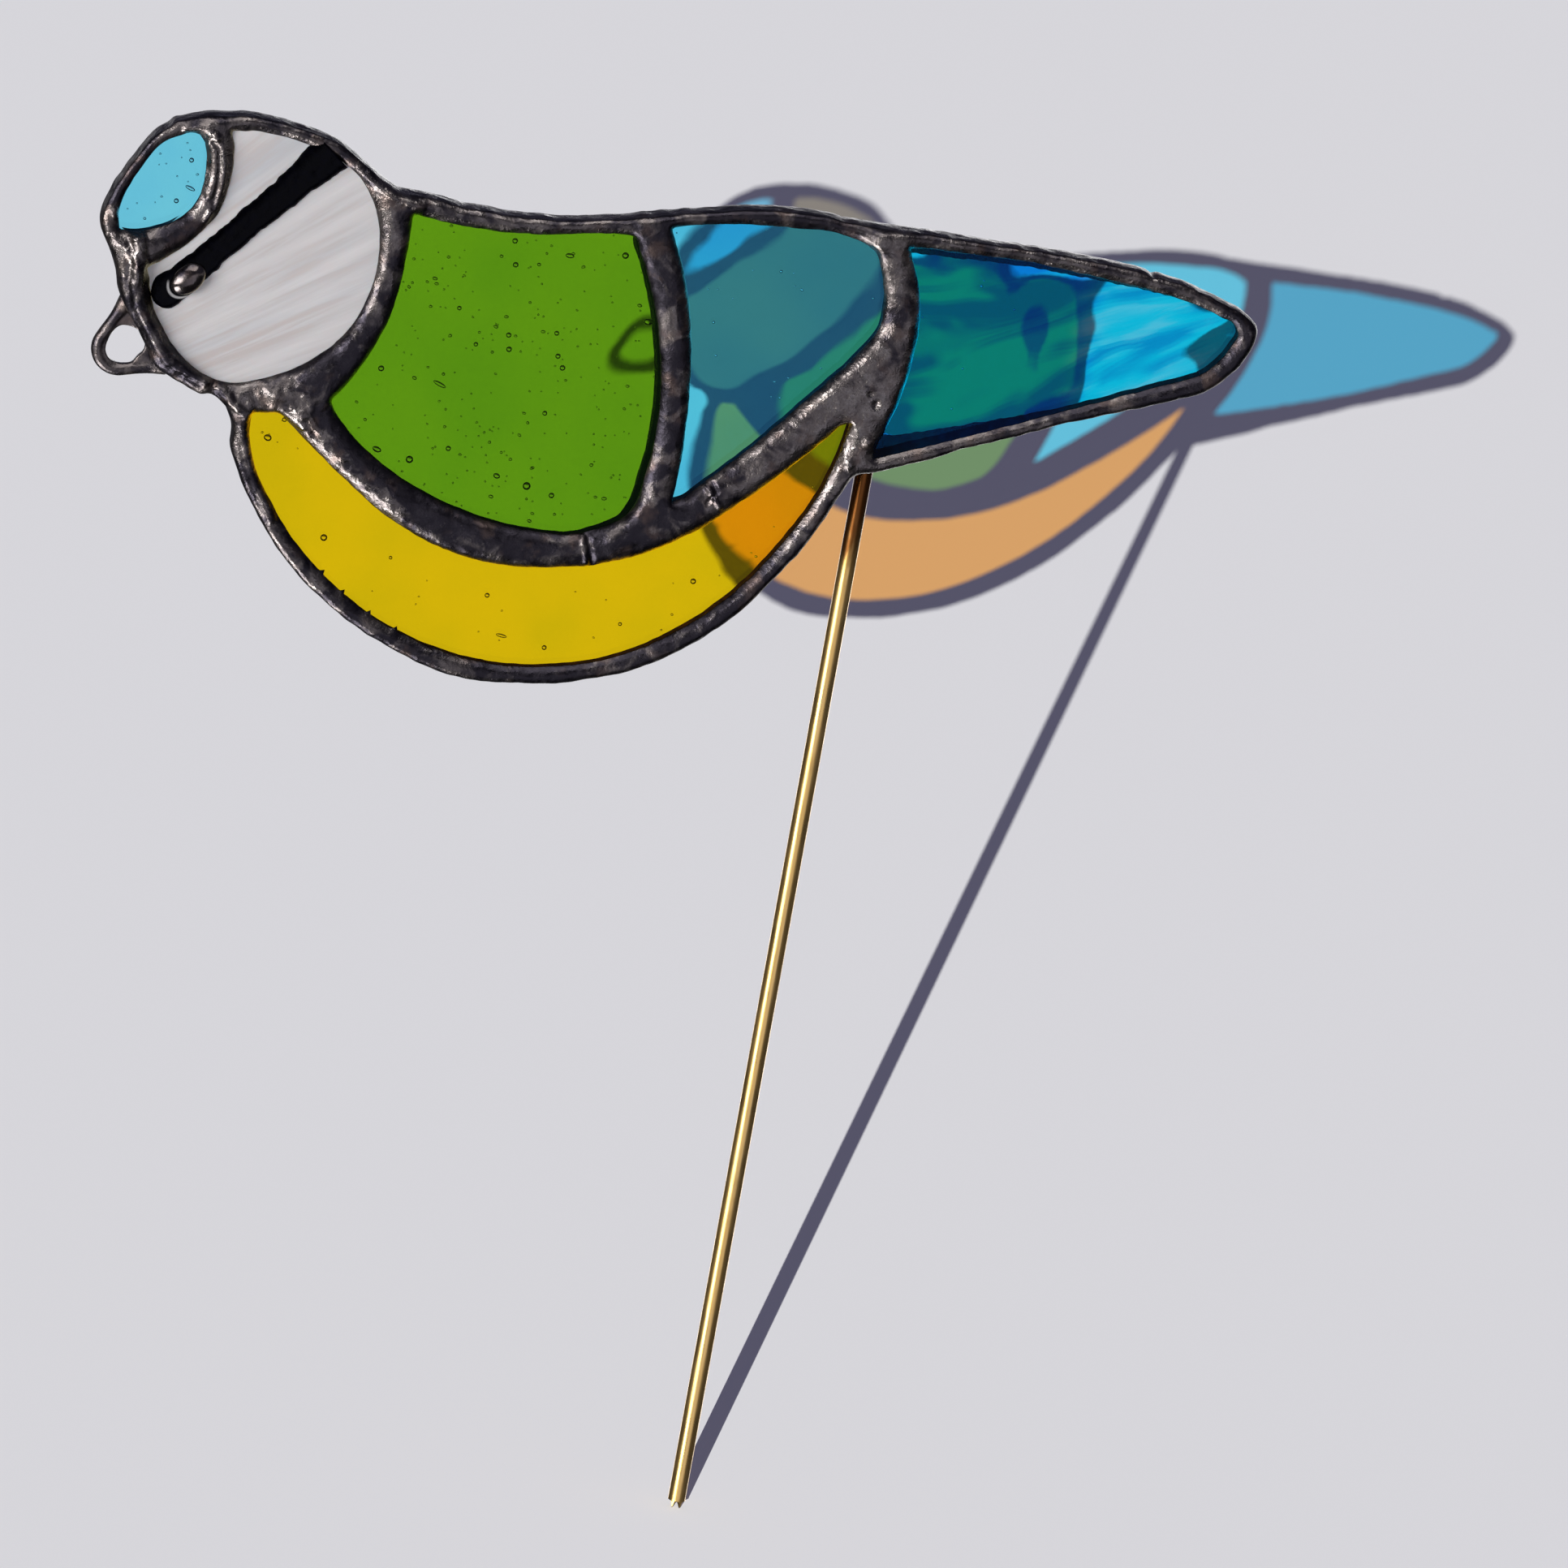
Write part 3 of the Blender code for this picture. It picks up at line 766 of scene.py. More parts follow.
# Triangles between a closed line and its holes, over all points inside them
def filled(outer, holes=(), inside=()):
    lines = [outer, *holes]
    flat = np.vstack(lines + [inside] if len(inside) else lines)
    links, start = [], 0
    for line in lines:
        links += [(start + i, start + (i + 1) % len(line)) for i in range(len(line))]
        start += len(line)
    made = geometry.delaunay_2d_cdt([Vector(p) for p in flat], links, [], 0, 1e-6)
    origins = [ids[0] for ids in made[3]]
    cells = []
    for face in made[2]:
        ids = [origins[i] for i in face]
        if max(ids) < start:
            middle = sum(flat[i] for i in ids) / 3
            if not insideLine(middle, outer) or any(insideLine(middle, hole) for hole in holes):
                continue
        cells.append(ids)
    return cells, flat


# Height of the solder over the glass at each point of one face. Close to an opening it is
# worked out from the height a little further in, because the raster is coarse there.
def domeHeight(points, rim, windows, crest):
    wide = rim + outward(rim) * solder["rimSpread"]
    swell = swelling(metalCells(wide, windows))
    foot, reach = nearest(windows, points)
    lip, shoulder = solder["lipRound"], solder["lipShoulder"]
    aside = (points - foot) / np.maximum(reach, 0.01)[:, None]
    held = np.where((reach < lip)[:, None], foot + aside * lip, points)
    share = np.clip(reach / lip, 0, 1)
    share = share * (1 + shoulder - shoulder * share)
    body = 1 - np.exp(-solder["fill"] * sampled(swell, held) * share)
    fromRim = np.minimum(reachTo([rim], points) / solder["rimRound"], 1)
    return crest * body * np.sqrt(1 - (1 - fromRim) ** 2), body


def handWork(points, height, body, fromWindow):
    onBody = np.clip(body * 2, 0, 1)
    height = height + shaking(points, solder["lumps"]) * np.clip(body * 1.6, 0, 1)
    for line, reach in solder["scars"]:
        near = np.clip(1.6 * (1 - nearLine(points, line) / reach), 0, 1)
        height += near * shaking(points, solder["scarShake"]) * onBody
    ends = np.clip(fromWindow / solder["ridgeStart"], 0, 1)
    for line, width, rise in solder["ridges"]:
        near = nearLine(points, line) / width
        hump = np.sqrt(np.clip(1 - near**2, 0, 1))
        height += rise * (hump * 0.8 + 0.2 * np.exp(-near * near)) * ends
    for x, z, reach, rise in solder["drops"]:
        near = 1.6 * np.linalg.norm(points - np.array((x, z)), axis=1) / reach
        height += rise * np.exp(-near * near) * onBody
    return np.maximum(height, solder["lowest"])


def wearSheenAndShadeAt(points):
    wearSheenAndShade = np.zeros(len(points))
    for line, reach, share in solder["wearSheenAndShade"]:
        wearSheenAndShade += share * np.sqrt(np.clip(1 - nearLine(points, line) / reach, 0, 1))
    return np.clip(wearSheenAndShade, -1, 1)


# How much wider the back openings are than the front ones, less two insets on the side towards the tail
backWider = 0.2
backInset = {"back": 0.75, "belly": 0.2}

# The tail's foil sits off centre at the back, so its back opening is smaller than its front one
tailLip = {"length": 20.0, "low": 1.9, "high": 1.1, "middle": 143.0, "ragged": [(0.16, 0.8, 41.3)]}


def backWindow(name, window):
    if name != "tail":
        aside = outward(window)
        inset = backInset.get(name, 0) * np.maximum(0, aside[:, 0]) ** 2
        return window + aside * (backWider - inset)[:, None]
    x, z = window[:, 0], window[:, 1]
    middle = tailLip["middle"]
    nearRod = np.clip(1 - np.maximum(x, 0) / tailLip["length"], 0, 1)
    nearTip = np.maximum(x, 0) / x.max()
    depth = np.clip((middle - z) / (middle - z.min()), 0, 1)
    rise = np.clip((z - middle) / (z.max() - middle), 0, 1)
    low = tailLip["low"] * nearRod * np.minimum(1, 2 * depth)
    high = tailLip["high"] * (1 - nearTip**2) * rise
    ragged = shaking(window, tailLip["ragged"]) * (low + high > 0.2)
    return np.stack([x, z + low - high + ragged], 1)


# The cap's opening is straighter and sharper than the pane beneath it
capOpening = [
    (-88.75, 139.55), (-88.85, 139.75), (-89.1, 142.5), (-87.5, 147.0), (-85.6, 150.0), (-83.6, 151.3),
    (-82.3, 151.7), (-81.3, 151.4), (-81.15, 151.2), (-80.5, 149.2), (-80.3, 146.3), (-80.8, 143.8),
    (-82.3, 141.9), (-84.1, 140.6), (-86.6, 139.7), (-88.6, 139.5),
]

# Corners that are sharper in the foil than in the pane, and how far round them it is pulled out
windowCorners = {"face": [(-78.1, 152.6), (-84.9, 135.6)]}
cornerReach = 1.5


def pulled(line, corners):
    for corner in corners:
        closest = line[np.linalg.norm(np.array(corner) - line, axis=1).argmin()]
        share = np.clip(1 - np.linalg.norm(line - closest, axis=1) / cornerReach, 0, 1) ** 1.5
        line = line + (np.array(corner) - closest) * share[:, None]
    return line


# Spikes of foil at the front lip, where the line comes close enough
def spiked(line):
    for spike in solder["spikes"]:
        reach = np.linalg.norm(line - np.array(spike), axis=1)
        if reach.min() < solder["spikeFinds"]:
            near = np.linalg.norm(line - line[reach.argmin()], axis=1) / solder["spikeWide"]
            line = line - outward(line) * (solder["spikeLong"] * np.exp(-near * near))[:, None]
    return line


# Solder runs up both sides of the rod behind the seam
seat = {
    "low": 125.4,
    "high": 146.0,
    "reach": 2.1,
    "top": 1.15,
    "height": 2.9,
    "endRound": 1.2,
    "wander": [(0.25, 3.0, 47.1)],
}


def rodFillet(points, height):
    x, z = points[:, 0], points[:, 1]
    reach = seat["reach"] + shaking(points, seat["wander"])
    side = np.clip((reach - np.abs(x)) / (seat["reach"] - seat["top"]), 0, 1)
    ends = np.clip(np.minimum(z - seat["low"], seat["high"] - z) / seat["endRound"], 0, 1)
    return np.maximum(height, seat["height"] * side**1.4 * np.sqrt(ends))


def makeSolder(material, foil):
    rim = wavering(rimLine, solder["rimShake"])
    for x, z, reach, out in solder["nicks"]:
        near = np.linalg.norm(rim - np.array((x, z)), axis=1) / reach
        rim = rim + outward(rim) * (out * np.exp(-near * near))[:, None]
    windows, grooves, behind = [], [], []
    for name in panes:
        inner = paneLines[name] - outward(paneLines[name]) * lipTuck
        if name == "cap":
            inner = smoothLine(np.array(capOpening)[::-1], finePitch)
        inner = pulled(evenLine(inner, finePitch), windowCorners.get(name, ()))
        inner = wavering(inner, solder["windowShake"])
        windows.append(spiked(inner))
        grooves.append(inner + outward(inner) * (lipTuck + solder["grooveGap"]))
        behind.append(backWindow(name, inner))
    touch = solder["touch"]
    points, faces, crest, wearSheenAndShade = [], [], [], []
    edgeCount = len(rim) + sum(len(window) for window in windows)

    def addFace(lines, atBack):
        level, side = (glassBack, 1) if atBack else (glassFront, -1)
        height = solder["crestBack" if atBack else "crest"]
        field = faceField(rim, lines, solder["pitchBack" if atBack else "pitch"])
        top, body = domeHeight(field, rim, lines, height)
        if atBack:
            top = rodFillet(field, top + shaking(field, solder["backShake"]) * np.clip(body, 0, 1))
            top = np.maximum(top, solder["lowest"])
        else:
            top = handWork(field, top, body, reachTo(lines, field))
        top[:edgeCount] = 0
        base = len(points)
        points.extend((x, level + side * (touch + h), z) for (x, z), h in zip(field, top))
        crest.extend(np.clip(top / height, 0, 1.2))
        wearSheenAndShade.extend(wearSheenAndShadeAt(field))
        for a, b, c in filled(rim, lines, field[edgeCount:])[0]:
            faces.append((base + a, base + c, base + b) if atBack else (base + a, base + b, base + c))
        return base

    def addRow(line, y):
        base = len(points)
        points.extend((x, y, z) for x, z in line)
        crest.extend([solder["sideCrest"]] * len(line))
        wearSheenAndShade.extend(wearSheenAndShadeAt(line))
        return base

    frontBase = addFace(windows, False)
    backBase = addFace(behind, True)

    # Round the rim, from the front edge to the back edge
    rows = [frontBase]
    depth = glassBack - glassFront + 2 * touch
    for k in range(1, solder["rimLevels"]):
        t = k / solder["rimLevels"]
        y = glassFront - touch + depth * t
        over, through = solder["rimLumpSize"]
        bulge = np.array([noise.noise(Vector((x / over, y / through, z / over))) for x, z in rim])
        bulge = solder["rimBulge"] * math.sin(math.pi * t) + solder["rimLumps"] * bulge
        rows.append(addRow(rim + outward(rim) * bulge[:, None], y))
    faces += rowFaces(rows + [backBase], len(rim))

    # Under each lip, along the pane's edge and back
    start = len(rim)
    shown = len(faces)
    for window, groove in zip(windows, grooves):
        rows = [addRow(groove, glassBack + touch), addRow(groove, glassFront - touch)]
        faces += rowFaces([backBase + start, *rows, frontBase + start], len(window))
        start += len(window)

    finishes = [material, foil]
    piece = makePiece("solder_network", points, faces, finishes, "dark_solder", ["solder_lines"], shown)
    for name, values in (("crest", crest), ("wearSheenAndShade", wearSheenAndShade)):
        attribute = piece.data.attributes.new(name, "FLOAT", "POINT")
        attribute.data.foreach_set("value", np.array(values, np.float32))
    return piece


# Each pane: its slot, the height and size of its waves, its grid and its fine bubbles to the mm2
paneKinds = {
    "cap": {"slot": "sky_glass", "wave": (0.02, 6.0), "grid": 1.2, "seeds": 0.30},
    "face": {"slot": "opal_glass", "wave": (0.03, 7.0), "grid": 1.4, "seeds": 0.0},
    "back": {"slot": "green_glass", "wave": (0.02, 9.0), "grid": 1.4, "seeds": 0.26},
    "wing": {"slot": "wing_glass", "wave": (0.02, 9.0), "grid": 1.4, "seeds": 0.03},
    "belly": {"slot": "amber_glass", "wave": (0.02, 9.0), "grid": 1.4, "seeds": 0.05},
    "tail": {"slot": "tail_glass", "wave": (0.03, 5.0), "grid": 0.9, "seeds": 0.01},
}
waveSeeds = (61.0, 67.0)
paneEdgePitch = 0.6

# The larger bubbles: x, z, radius, and how much longer than wide
bubbles = {
    "back": [
        (-44.4, 144.9, 0.34, 1.0), (-43.8, 142.1, 0.34, 1.0), (-31.8, 145.2, 0.40, 1.0),
        (-38.0, 144.2, 0.30, 1.7), (-43.2, 134.0, 0.32, 1.0), (-42.9, 132.4, 0.34, 1.0),
        (-37.9, 135.1, 0.30, 1.0), (-37.3, 132.5, 0.32, 1.0), (-36.6, 131.3, 0.34, 1.0),
        (-56.8, 128.0, 0.36, 1.0), (-38.2, 117.1, 0.48, 1.0), (-35.2, 116.4, 0.34, 1.0),
        (-41.8, 117.8, 0.32, 1.3), (-51.9, 118.2, 0.45, 1.0), (-55.7, 118.7, 0.34, 1.6),
        (-47.7, 120.0, 0.32, 1.0), (-46.7, 132.4, 0.28, 1.0), (-49.3, 136.3, 0.28, 1.0),
        (-37.6, 125.7, 0.30, 1.0), (-27.9, 138.0, 0.40, 1.3), (-50.0, 127.3, 0.26, 3.2),
    ],
    "belly": [
        (-68.1, 118.1, 0.40, 1.2), (-66.6, 120.5, 0.30, 1.0), (-59.9, 107.7, 0.42, 1.0),
        (-40.5, 104.0, 0.30, 1.0), (-17.6, 109.1, 0.35, 1.0), (-33.0, 98.9, 0.30, 1.0),
        (-38.1, 99.6, 0.22, 3.0), (-52.0, 106.5, 0.22, 1.0), (-25.0, 103.0, 0.24, 1.0),
    ],
    "cap": [(-82.0, 148.4, 0.30, 1.0), (-82.9, 143.5, 0.30, 1.0), (-81.6, 145.2, 0.24, 2.6)],
    "wing": [(-14.0, 146.0, 0.2, 1.0), (-20.5, 139.0, 0.18, 1.0)],
}
bubbleFlat = 0.8  # how deep a bubble is for its width

# How the bubbles vary: in depth and turn, and the fine ones in radius and length as well
strewn = {
    "depth": 0.6,
    "turn": 0.4,
    "fineDepth": 1.1,
    "fineTurn": 0.5,
    "fineRadius": (0.09, 0.13),  # the least, and how much more
    "fineLonger": 0.6,
    "fromEdge": 0.3,  # the fine ones keep this far inside the lip
}


def addBubble(points, faces, centre, radius, stretch, turn):
    rings, sides = (7, 12) if radius > 0.2 else (5, 8)
    x, y, z = centre
    base = len(points)
    points.append((x, y - radius * bubbleFlat, z))
    for r in range(1, rings):
        lift = math.pi * r / rings
        for s in range(sides):
            around = 2 * math.pi * s / sides
            long = radius * stretch * math.sin(lift) * math.cos(around)
            short = radius * math.sin(lift) * math.sin(around)
            across = long * math.cos(turn) - short * math.sin(turn)
            up = long * math.sin(turn) + short * math.cos(turn)
            points.append((x + across, y - radius * bubbleFlat * math.cos(lift), z + up))
    points.append((x, y + radius * bubbleFlat, z))
    last = len(points) - 1
    faces += rowFaces(range(base + 1, last, sides), sides, turned=True)
    for s in range(sides):
        t = (s + 1) % sides
        faces.append((base, base + 1 + t, base + 1 + s))
        faces.append((last, last - sides + s, last - sides + t))


# A plate: the same cells at the front and the back, and walls along its closed lines
def addPlate(points, faces, cells, flat, lines, front, back):
    base, count = len(points), len(flat)
    for depths in (front, back):
        points.extend((x, y, z) for (x, z), y in zip(flat, depths))
    for a, b, c in cells:
        faces.append((base + a, base + b, base + c))
        faces.append((base + count + a, base + count + c, base + count + b))
    for line in lines:
        faces.extend(rowFaces([base, base + count], len(line)))
        base += len(line)


# A pane with gently waved faces, and with bubbles sealed in it
def makePane(name, material, seedMaterial):
    kind = paneKinds[name]
    edge = evenLine(paneLines[name], paneEdgePitch)
    low, high = edge.min(0), edge.max(0)
    grid = kind["grid"]
    xs, zs = (np.arange(low[k], high[k], grid) for k in (0, 1))
    spots = np.array([(x, z) for x in xs for z in zs])
    keep = np.array([insideLine(p, edge) for p in spots]) & (reachTo([edge], spots) > grid * 0.4)
    cells, flat = filled(edge, (), spots[keep])
    depth, size = kind["wave"]
    dips = [depth * (1 + lumps(flat, size, seed)) for seed in waveSeeds]
    points, faces = [], []
    addPlate(points, faces, cells, flat, [edge], glassFront + dips[0], glassBack - dips[1])
    solid = len(faces)
    rng = random.Random(name)
    middle = (glassFront + glassBack) / 2
    inner = paneLines[name] - outward(paneLines[name]) * (lipTuck + strewn["fromEdge"])
    for x, z, radius, stretch in bubbles.get(name, ()):
        centre = (x, middle + rng.uniform(-strewn["depth"], strewn["depth"]), z)
        turn = rng.uniform(-strewn["turn"], strewn["turn"])
        addBubble(points, faces, centre, radius, stretch, turn)
    for _ in range(int((high - low).prod() * kind["seeds"])):
        x, z = rng.uniform(low[0], high[0]), rng.uniform(low[1], high[1])
        radius = strewn["fineRadius"][0] + strewn["fineRadius"][1] * rng.random() ** 3
        y = middle + rng.uniform(-strewn["fineDepth"], strewn["fineDepth"])
        if insideLine(np.array((x, z)), inner):
            stretch = 1 + strewn["fineLonger"] * rng.random()
            turn = rng.uniform(-strewn["fineTurn"], strewn["fineTurn"])
            addBubble(points, faces, (x, y, z), radius, stretch, turn)
    materials = [material, seedMaterial] if len(faces) > solid else [material]
    piece = makePiece(name + "_pane", points, faces, materials, kind["slot"], [name + "_glass"], solid)
    piece.data.set_sharp_from_angle(angle=0.7)
    return piece


# The rod: drawn brass, snipped off at its lower end, where two burrs stand past the cut
rod = {
    "radius": 1.0,
    "top": 147.0,
    "sides": 56,
    "bevel": 0.12,
    "ragged": 0.05,
    # Where round the cut the burrs stand, how long and how wide
    "burrs": (4.19, 5.12),
    "burrLong": 0.8,
    "burrWide": 0.13,
    "cutFades": 3.0,
}


def makeRod(material):
    levels = [0.0, 0.12, 0.3, 0.8, *np.arange(5.0, rod["top"] - 1, 5.0), rod["top"] - 0.2, rod["top"]]
    points = [(0, 0, rod["burrLong"] + 0.05)]
    sides = rod["sides"]
    for z in levels:
        radius = rod["radius"] - rod["bevel"] * (z in (0.0, rod["top"]))
        for s in range(sides):
            turn = 2 * math.pi * s / sides
            x, y = math.cos(turn), math.sin(turn)
            ragged = rod["ragged"] * noise.noise(Vector((x * 3, y * 3, z))) * (z < 0.2)
            burr = max(math.exp(-(((turn - at) / rod["burrWide"]) ** 2)) for at in rod["burrs"])
            lift = rod["burrLong"] * (1 - burr) * max(0, 1 - z / rod["cutFades"])
            lift += abs(ragged) * (z == 0.0)
            points.append(((radius + ragged) * x, (radius + ragged) * y, z + lift))
    last = len(points) - sides
    faces = rowFaces(range(1, last + 1, sides), sides, turned=True)
    faces += [(0, 1 + (s + 1) % sides, 1 + s) for s in range(sides)]
    faces.append(tuple(range(last, last + sides)))
    piece = makePiece("brass_rod", points, faces, [material], "brass", ["stake_rod"])
    piece.data.set_sharp_from_angle(angle=0.9)
    return piece


# The eye: its black stripe, and the bead of solder on the stripe's lower end
eye = {
    "top": (-67.3, 151.0),
    "low": (-82.2, 133.3),
    "widths": [(0.0, 4.5), (0.15, 3.8), (0.5, 3.1), (0.8, 3.4), (1.0, 3.9)],
    "underRim": 1.3,
    "thick": 0.5,
    "edgeThick": 0.02,
    "gap": 0.01,
    "tipShort": 0.02,  # the last row stops this far before the tip
    # Heights, sizes and seeds of its wavy edges
    "edgeWaves": [(0.3, 2.4, 0), (0.14, 0.8, 4)],
    "bead": (-80.2, 135.2),
    "beadOut": 0.35,
    "beadLong": 2.3,
    "beadWide": 1.55,
    "beadHigh": 1.15,
}


def makeStripe(material):
    top, low = np.array(eye["top"]), np.array(eye["low"])
    length = np.linalg.norm(low - top)
    along = (low - top) / length
    across = np.array((along[1], -along[0]))
    stations, width = 110, 16
    shares, sizes = zip(*eye["widths"])
    roundEnd = sizes[-1] / 2
    points, faces = [], []
    for i in range(stations + 1):
        s = (length + roundEnd + eye["underRim"] - eye["tipShort"]) * i / stations - eye["underRim"]
        half = np.interp(s / length, shares, sizes) / 2
        half *= math.sqrt(max(0.0, 1 - (max(0.0, s - length) / roundEnd) ** 2))
        for k in range(width + 1):
            u = 2 * k / width - 1
            edge = math.copysign(5, u)
            waves = (a * noise.noise(Vector((s / size, edge, seed))) for a, size, seed in eye["edgeWaves"])
            wave = sum(waves)
            x, z = top + along * s + across * (u * half + wave * abs(u) * min(1, half))
            thick = eye["thick"] * (1 - abs(u) ** 6) * min(1, half / 0.8)
            thick += 0.08 * noise.noise(Vector((x / 0.9, z / 0.9, 2.0))) * (1 - u * u)
            points.append((x, glassFront - eye["gap"] - eye["edgeThick"] - max(0, thick), z))
    front = len(points)
    points += [(x, glassFront - eye["gap"], z) for x, _, z in points]
    row = width + 1
    last = stations * row
    for a in (i * row + k for i in range(stations) for k in range(width)):
        faces.append((a, a + 1, a + row + 1, a + row))
        faces.append((front + a, front + a + row, front + a + row + 1, front + a + 1))
    edge = [*range(width), *range(width, last + width, row)]
    edge += [*range(last + width, last, -1), *range(last, 0, -row)]
    for a, b in zip(edge, edge[1:] + edge[:1]):
        faces.append((b, a, front + a, front + b))
    return makePiece("eye_strip", points, faces, [material], "black_strip", ["eye_stripe"])


def makeBead(material):
    along = (Vector(eye["top"]) - Vector(eye["low"])).normalized()
    mesh = bmesh.new()
    bmesh.ops.create_uvsphere(mesh, u_segments=40, v_segments=24, radius=1.0)
    places = []
    for v in mesh.verts:
        run, rise = v.co.x * eye["beadLong"], v.co.z * eye["beadWide"]
        uneven = 1 + 0.05 * noise.noise(v.co * 1.6)
        x = eye["bead"][0] + (run * along.x - rise * along.y) * uneven
        z = eye["bead"][1] + (run * along.y + rise * along.x) * uneven
        places.append((x, glassFront - eye["beadOut"] + v.co.y * eye["beadHigh"] * uneven, z))
    shells = [tuple(v.index for v in f.verts) for f in mesh.faces]
    mesh.free()
    return makePiece("solder_bead", places, shells, [material], "dark_solder", ["eye_bead"])


# The beak: a bent wire, with solder drawn up where it meets the rim
beak = {
    "centre": (-86.45, 125.65),
    "radius": 2.4,
    "upper": (-86.3, 131.4),
    "lower": (-80.9, 124.5),
    "wire": 0.72,
    "flare": 0.55,
    "flareRows": 7,
    # The opening that the solder leaves inside the wire, and where its web meets the rim
    "opening": [
        (-86.6, 128.4), (-87.4, 127.6), (-87.8, 126.5), (-87.9, 125.4), (-87.4, 124.5), (-86.6, 124.1),
        (-85.5, 124.1), (-84.7, 124.4), (-84.2, 125.2), (-83.6, 126.0), (-83.7, 127.0), (-84.3, 127.9),
        (-85.3, 128.4),
    ],
    "webRim": [(-81.6, 126.2), (-83.0, 128.8), (-84.8, 131.2)],
    "webThick": 0.95,
    "voxel": 0.12,
}


def beakPath():
    centre = Vector(beak["centre"])
    ends = []
    for point, side in ((beak["upper"], 1), (beak["lower"], -1)):
        reach = Vector(point) - centre
        ends.append(math.atan2(reach.y, reach.x) + side * math.acos(beak["radius"] / reach.length))
    start, stop = ends[0], ends[1] + 2 * math.pi
    if stop - start > 2 * math.pi:
        stop -= 2 * math.pi
    turns = np.linspace(start, stop, 40)
    arc = [centre + beak["radius"] * Vector((math.cos(a), math.sin(a))) for a in turns]
    first, last = Vector(beak["upper"]), Vector(beak["lower"])
    path = [first.lerp(arc[0], t) for t in np.linspace(0, 1, 12, endpoint=False)] + arc
    return path + [arc[-1].lerp(last, t) for t in np.linspace(0, 1, 12)[1:]]


def makeBeak(material):
    path = beakPath()
    middle = (glassFront + glassBack) / 2
    points, sides, count = [], 20, len(path)
    for i, here in enumerate(path):
        along = (path[min(i + 1, count - 1)] - path[max(i - 1, 0)]).normalized()
        across = Vector((along.y, -along.x))
        fromEnd = min(i, count - 1 - i) / beak["flareRows"]
        r = beak["wire"] * (1 + beak["flare"] * max(0, 1 - fromEnd) ** 2)
        r *= 1 + 0.06 * noise.noise(Vector((here.x, here.y, 0)) * 0.6)
        for s in range(sides):
            turn = 2 * math.pi * s / sides
            place = here + across * r * math.cos(turn)
            points.append((place.x, middle + r * math.sin(turn), place.y))
    faces = rowFaces(range(0, count * sides, sides), sides, turned=True)
    faces.append(tuple(range(sides))[::-1])
    faces.append(tuple(range((count - 1) * sides, count * sides)))
    addWeb(points, faces, path, middle)
    skin = fused(points, faces, beak["voxel"])
    return makePiece("beak_wire", *skin, [material], "dark_solder", ["beak_loop"])


# The flat web of solder inside the bend of the wire, open where the light shows through
def addWeb(points, faces, path, middle):
    outer = evenLine(np.array([tuple(p) for p in path] + beak["webRim"]), 0.3)
    hole = smoothLine(np.array(beak["opening"])[::-1], 0.25)
    cells, flat = filled(outer, [hole])
    half = np.full(len(flat), beak["webThick"] / 2)
    addPlate(points, faces, cells, flat, [outer, hole], middle - half, middle + half)


# Overlapping closed shapes in mm, run together into one skin
def fused(points, faces, voxel):
    mesh = bpy.data.meshes.new("parts")
    mesh.from_pydata([tuple(c * mm for c in p) for p in points], [], faces)
    tidy = bmesh.new()
    tidy.from_mesh(mesh)
    bmesh.ops.recalc_face_normals(tidy, faces=tidy.faces)
    tidy.to_mesh(mesh)
    tidy.free()
    rough = bpy.data.objects.new("parts", mesh)
    bpy.context.collection.objects.link(rough)
    remesh = rough.modifiers.new("skin", "REMESH")
    remesh.mode = "VOXEL"
    remesh.voxel_size = voxel * mm
    smooth = rough.modifiers.new("flow", "SMOOTH")
    smooth.factor = 0.5
    smooth.iterations = 8
    shape = rough.evaluated_get(bpy.context.evaluated_depsgraph_get()).to_mesh()
    places = [tuple(c / mm for c in v.co) for v in shape.vertices]
    skins = [tuple(p.vertices) for p in shape.polygons]
    bpy.data.objects.remove(rough)
    return places, skins


def makeStage():
    bpy.ops.mesh.primitive_plane_add(size=24.0, location=(0, 0, 0))
    floor = bpy.context.object
    floor.name = "floor"
    floor.data.materials.append(paperFloor())
    floor.visible_glossy = False  # mirrors would show it too bright for so small a piece
    return floor


light = {
    "above": (0.100, 0.096, 0.15),
    "horizon": (0.67, 0.665, 0.70),
    "below": (0.05, 0.05, 0.06),
    "sunAzimuth": -12.25,
    "sunElevation": 10.8,
    "sunStrength": 11.7,
    "sunSize": 0.1,
    "sunColour": (0.995, 0.99, 0.933),
    "aim": Vector((-0.02, 0, 0.12)),
}

# The lamps near the bird: azimuth, elevation, distance, settings, and what each lights
lamps = [
    ("low key", -50, -54, 1.0, {"energy": 17.0, "size": 0.5}, "solder"),
    ("left key", -50, 2, 1.0, {"shape": "RECTANGLE", "energy": 20.0, "size": 0.85, "size_y": 0.42},
     "solder"),
    ("front sheen", 12, -16, 0.9, {"energy": 1.3, "size": 0.7, "color": (0.94, 0.94, 1.12)}, "metal"),
    ("top sheen", -20, 58, 1.0, {"energy": 9.0, "size": 0.8}, "solder"),
    ("rod key", -40, -5, 1.0, {"shape": "RECTANGLE", "energy": 15.0, "size": 0.4, "size_y": 1.2}, "rod"),
    ("rod edge", 170, 5, 1.0, {"shape": "RECTANGLE", "energy": 15.0, "size": 1.2, "size_y": 1.2}, "rod"),
    ("soft left", -60, 4, 0.5, {"energy": 2.2, "size": 0.25}, "face"),
    ("soft back", 145, -18, 1.0, {"energy": 9.0, "size": 1.2}, "solder and face"),
]


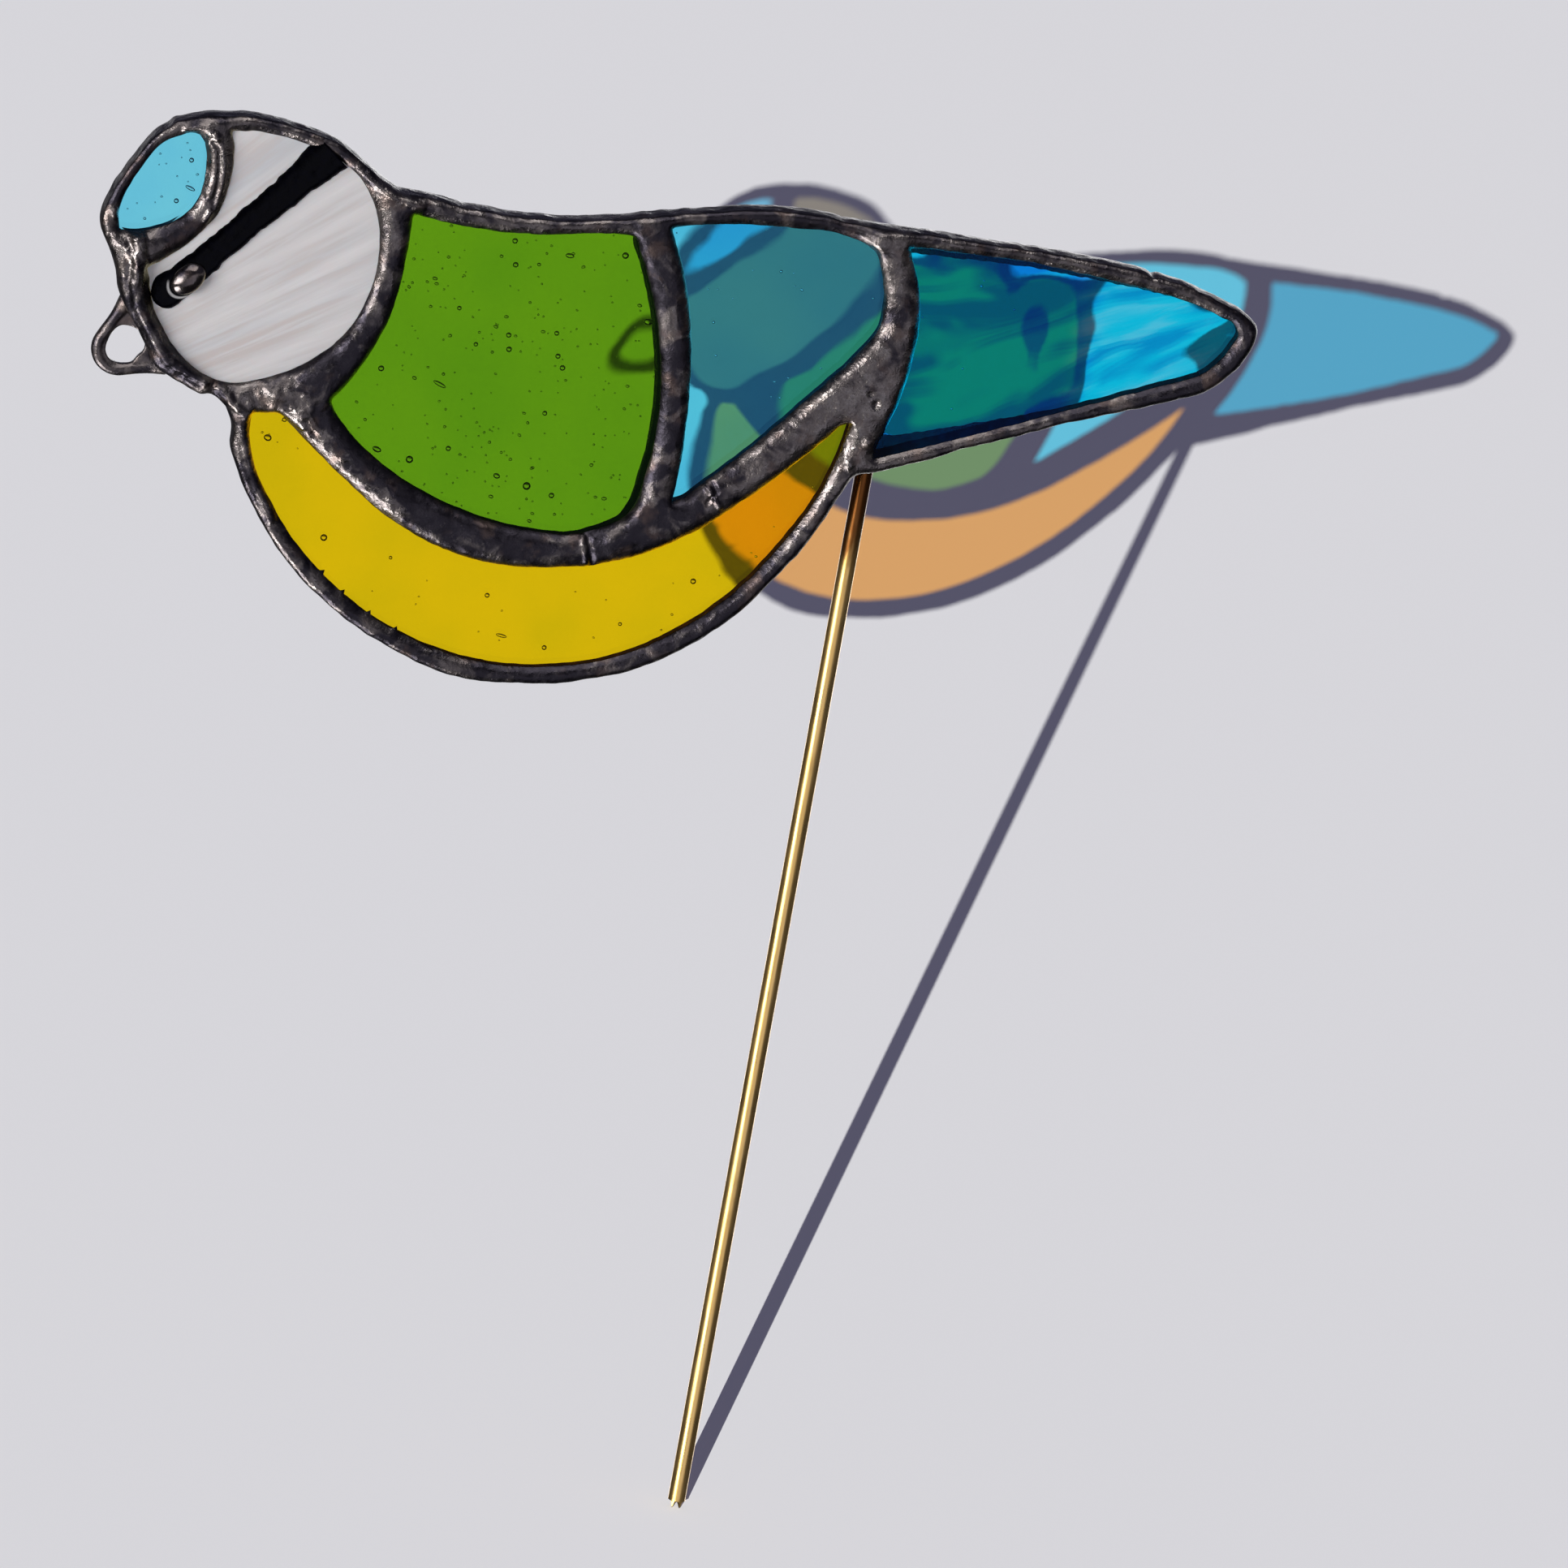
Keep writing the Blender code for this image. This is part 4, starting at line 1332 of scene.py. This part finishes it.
def makeWorld():
    sky = Finish("studio", bpy.data.worlds, "OutputWorld")
    height = sky.parts(sky.node("TexCoord", output="Generated"))[2]
    tone = sky.blend(height.between(0.03, 0.22), light["horizon"], light["above"])
    tone = sky.blend(height.between(-0.01, -0.06), tone, light["below"])
    bpy.context.scene.world = sky.finished(sky.node("Background", None, {"Color": tone}))


# A lamp aimed at the bird, which lights and is blocked by only the named things
def makeLamp(name, kind, azimuth, elevation, distance, settings, lit, blocked):
    data = bpy.data.lights.new(name, kind)
    for key, value in settings.items():
        setattr(data, key, value)
    lamp = bpy.data.objects.new(name, data)
    bpy.context.collection.objects.link(lamp)
    turn, rise = math.radians(azimuth), math.radians(elevation)
    back = Vector((math.sin(turn) * math.cos(rise), -math.cos(turn) * math.cos(rise), math.sin(rise)))
    lamp.location = light["aim"] + back * distance
    lamp.rotation_mode = "QUATERNION"
    lamp.rotation_quaternion = (-back).to_track_quat("-Z", "Y")
    lamp.visible_camera = False
    lamp.visible_transmission = False
    for use, things in (("receiver_collection", lit), ("blocker_collection", blocked)):
        group = bpy.data.collections.new(name + " " + use)
        for thing in things:
            group.objects.link(thing)
        setattr(lamp.light_linking, use, group)


def makeLight(floor, metal, glass):
    pieces = metal + glass
    # The opal glass scatters light, so the strip on it leaves no shadow of its own
    shading = [piece for piece in pieces if piece.name not in ("eye_strip", "solder_bead")]
    sun = {
        "energy": light["sunStrength"],
        "angle": math.radians(light["sunSize"]),
        "color": light["sunColour"],
    }
    makeLamp("low sun", "SUN", light["sunAzimuth"], light["sunElevation"], 1.0, sun, [floor], shading)
    soldered = [piece for piece in metal if piece.name not in ("eye_strip", "brass_rod")]
    facePane = [glass[panes.index("face")]]
    lit = {
        "metal": metal,
        "solder": soldered,
        "rod": [piece for piece in metal if piece.name == "brass_rod"],
        "face": facePane,
        "solder and face": soldered + facePane,
    }
    for name, azimuth, elevation, distance, settings, things in lamps:
        makeLamp(name, "AREA", azimuth, elevation, distance, settings, lit[things], pieces)


bpy.context.scene.view_settings.view_transform = "Standard"
makeCamera()
floor = makeStage()
print("camera and floor made")

seedGlass = clearGlass(Finish("clear bubbles"), (1.0, 1.0, 1.0), (1.0, 1.0, 1.0))
solderBlack = blackSolder("black patina solder")
metal = [makeSolder(solderBlack, darkFoil()), makeRod(drawnBrass()), makeStripe(glossBlack())]
metal.append(makeBead(blackSolder("black patina bead", 0.06, 0.3, (0.30, 0.14))))
metal.append(makeBeak(blackSolder("black patina wire", 0.10)))
glassFinishes = {
    "cap": waveredGlass("cap"),
    "face": opalGlass(),
    "back": waveredGlass("back"),
    "wing": waveredGlass("wing"),
    "belly": waveredGlass("belly"),
    "tail": combedGlass(),
}
glass = [makePane(name, glassFinishes[name], seedGlass) for name in panes]

makeWorld()
makeLight(floor, metal, glass)
print("sky and lamps made")
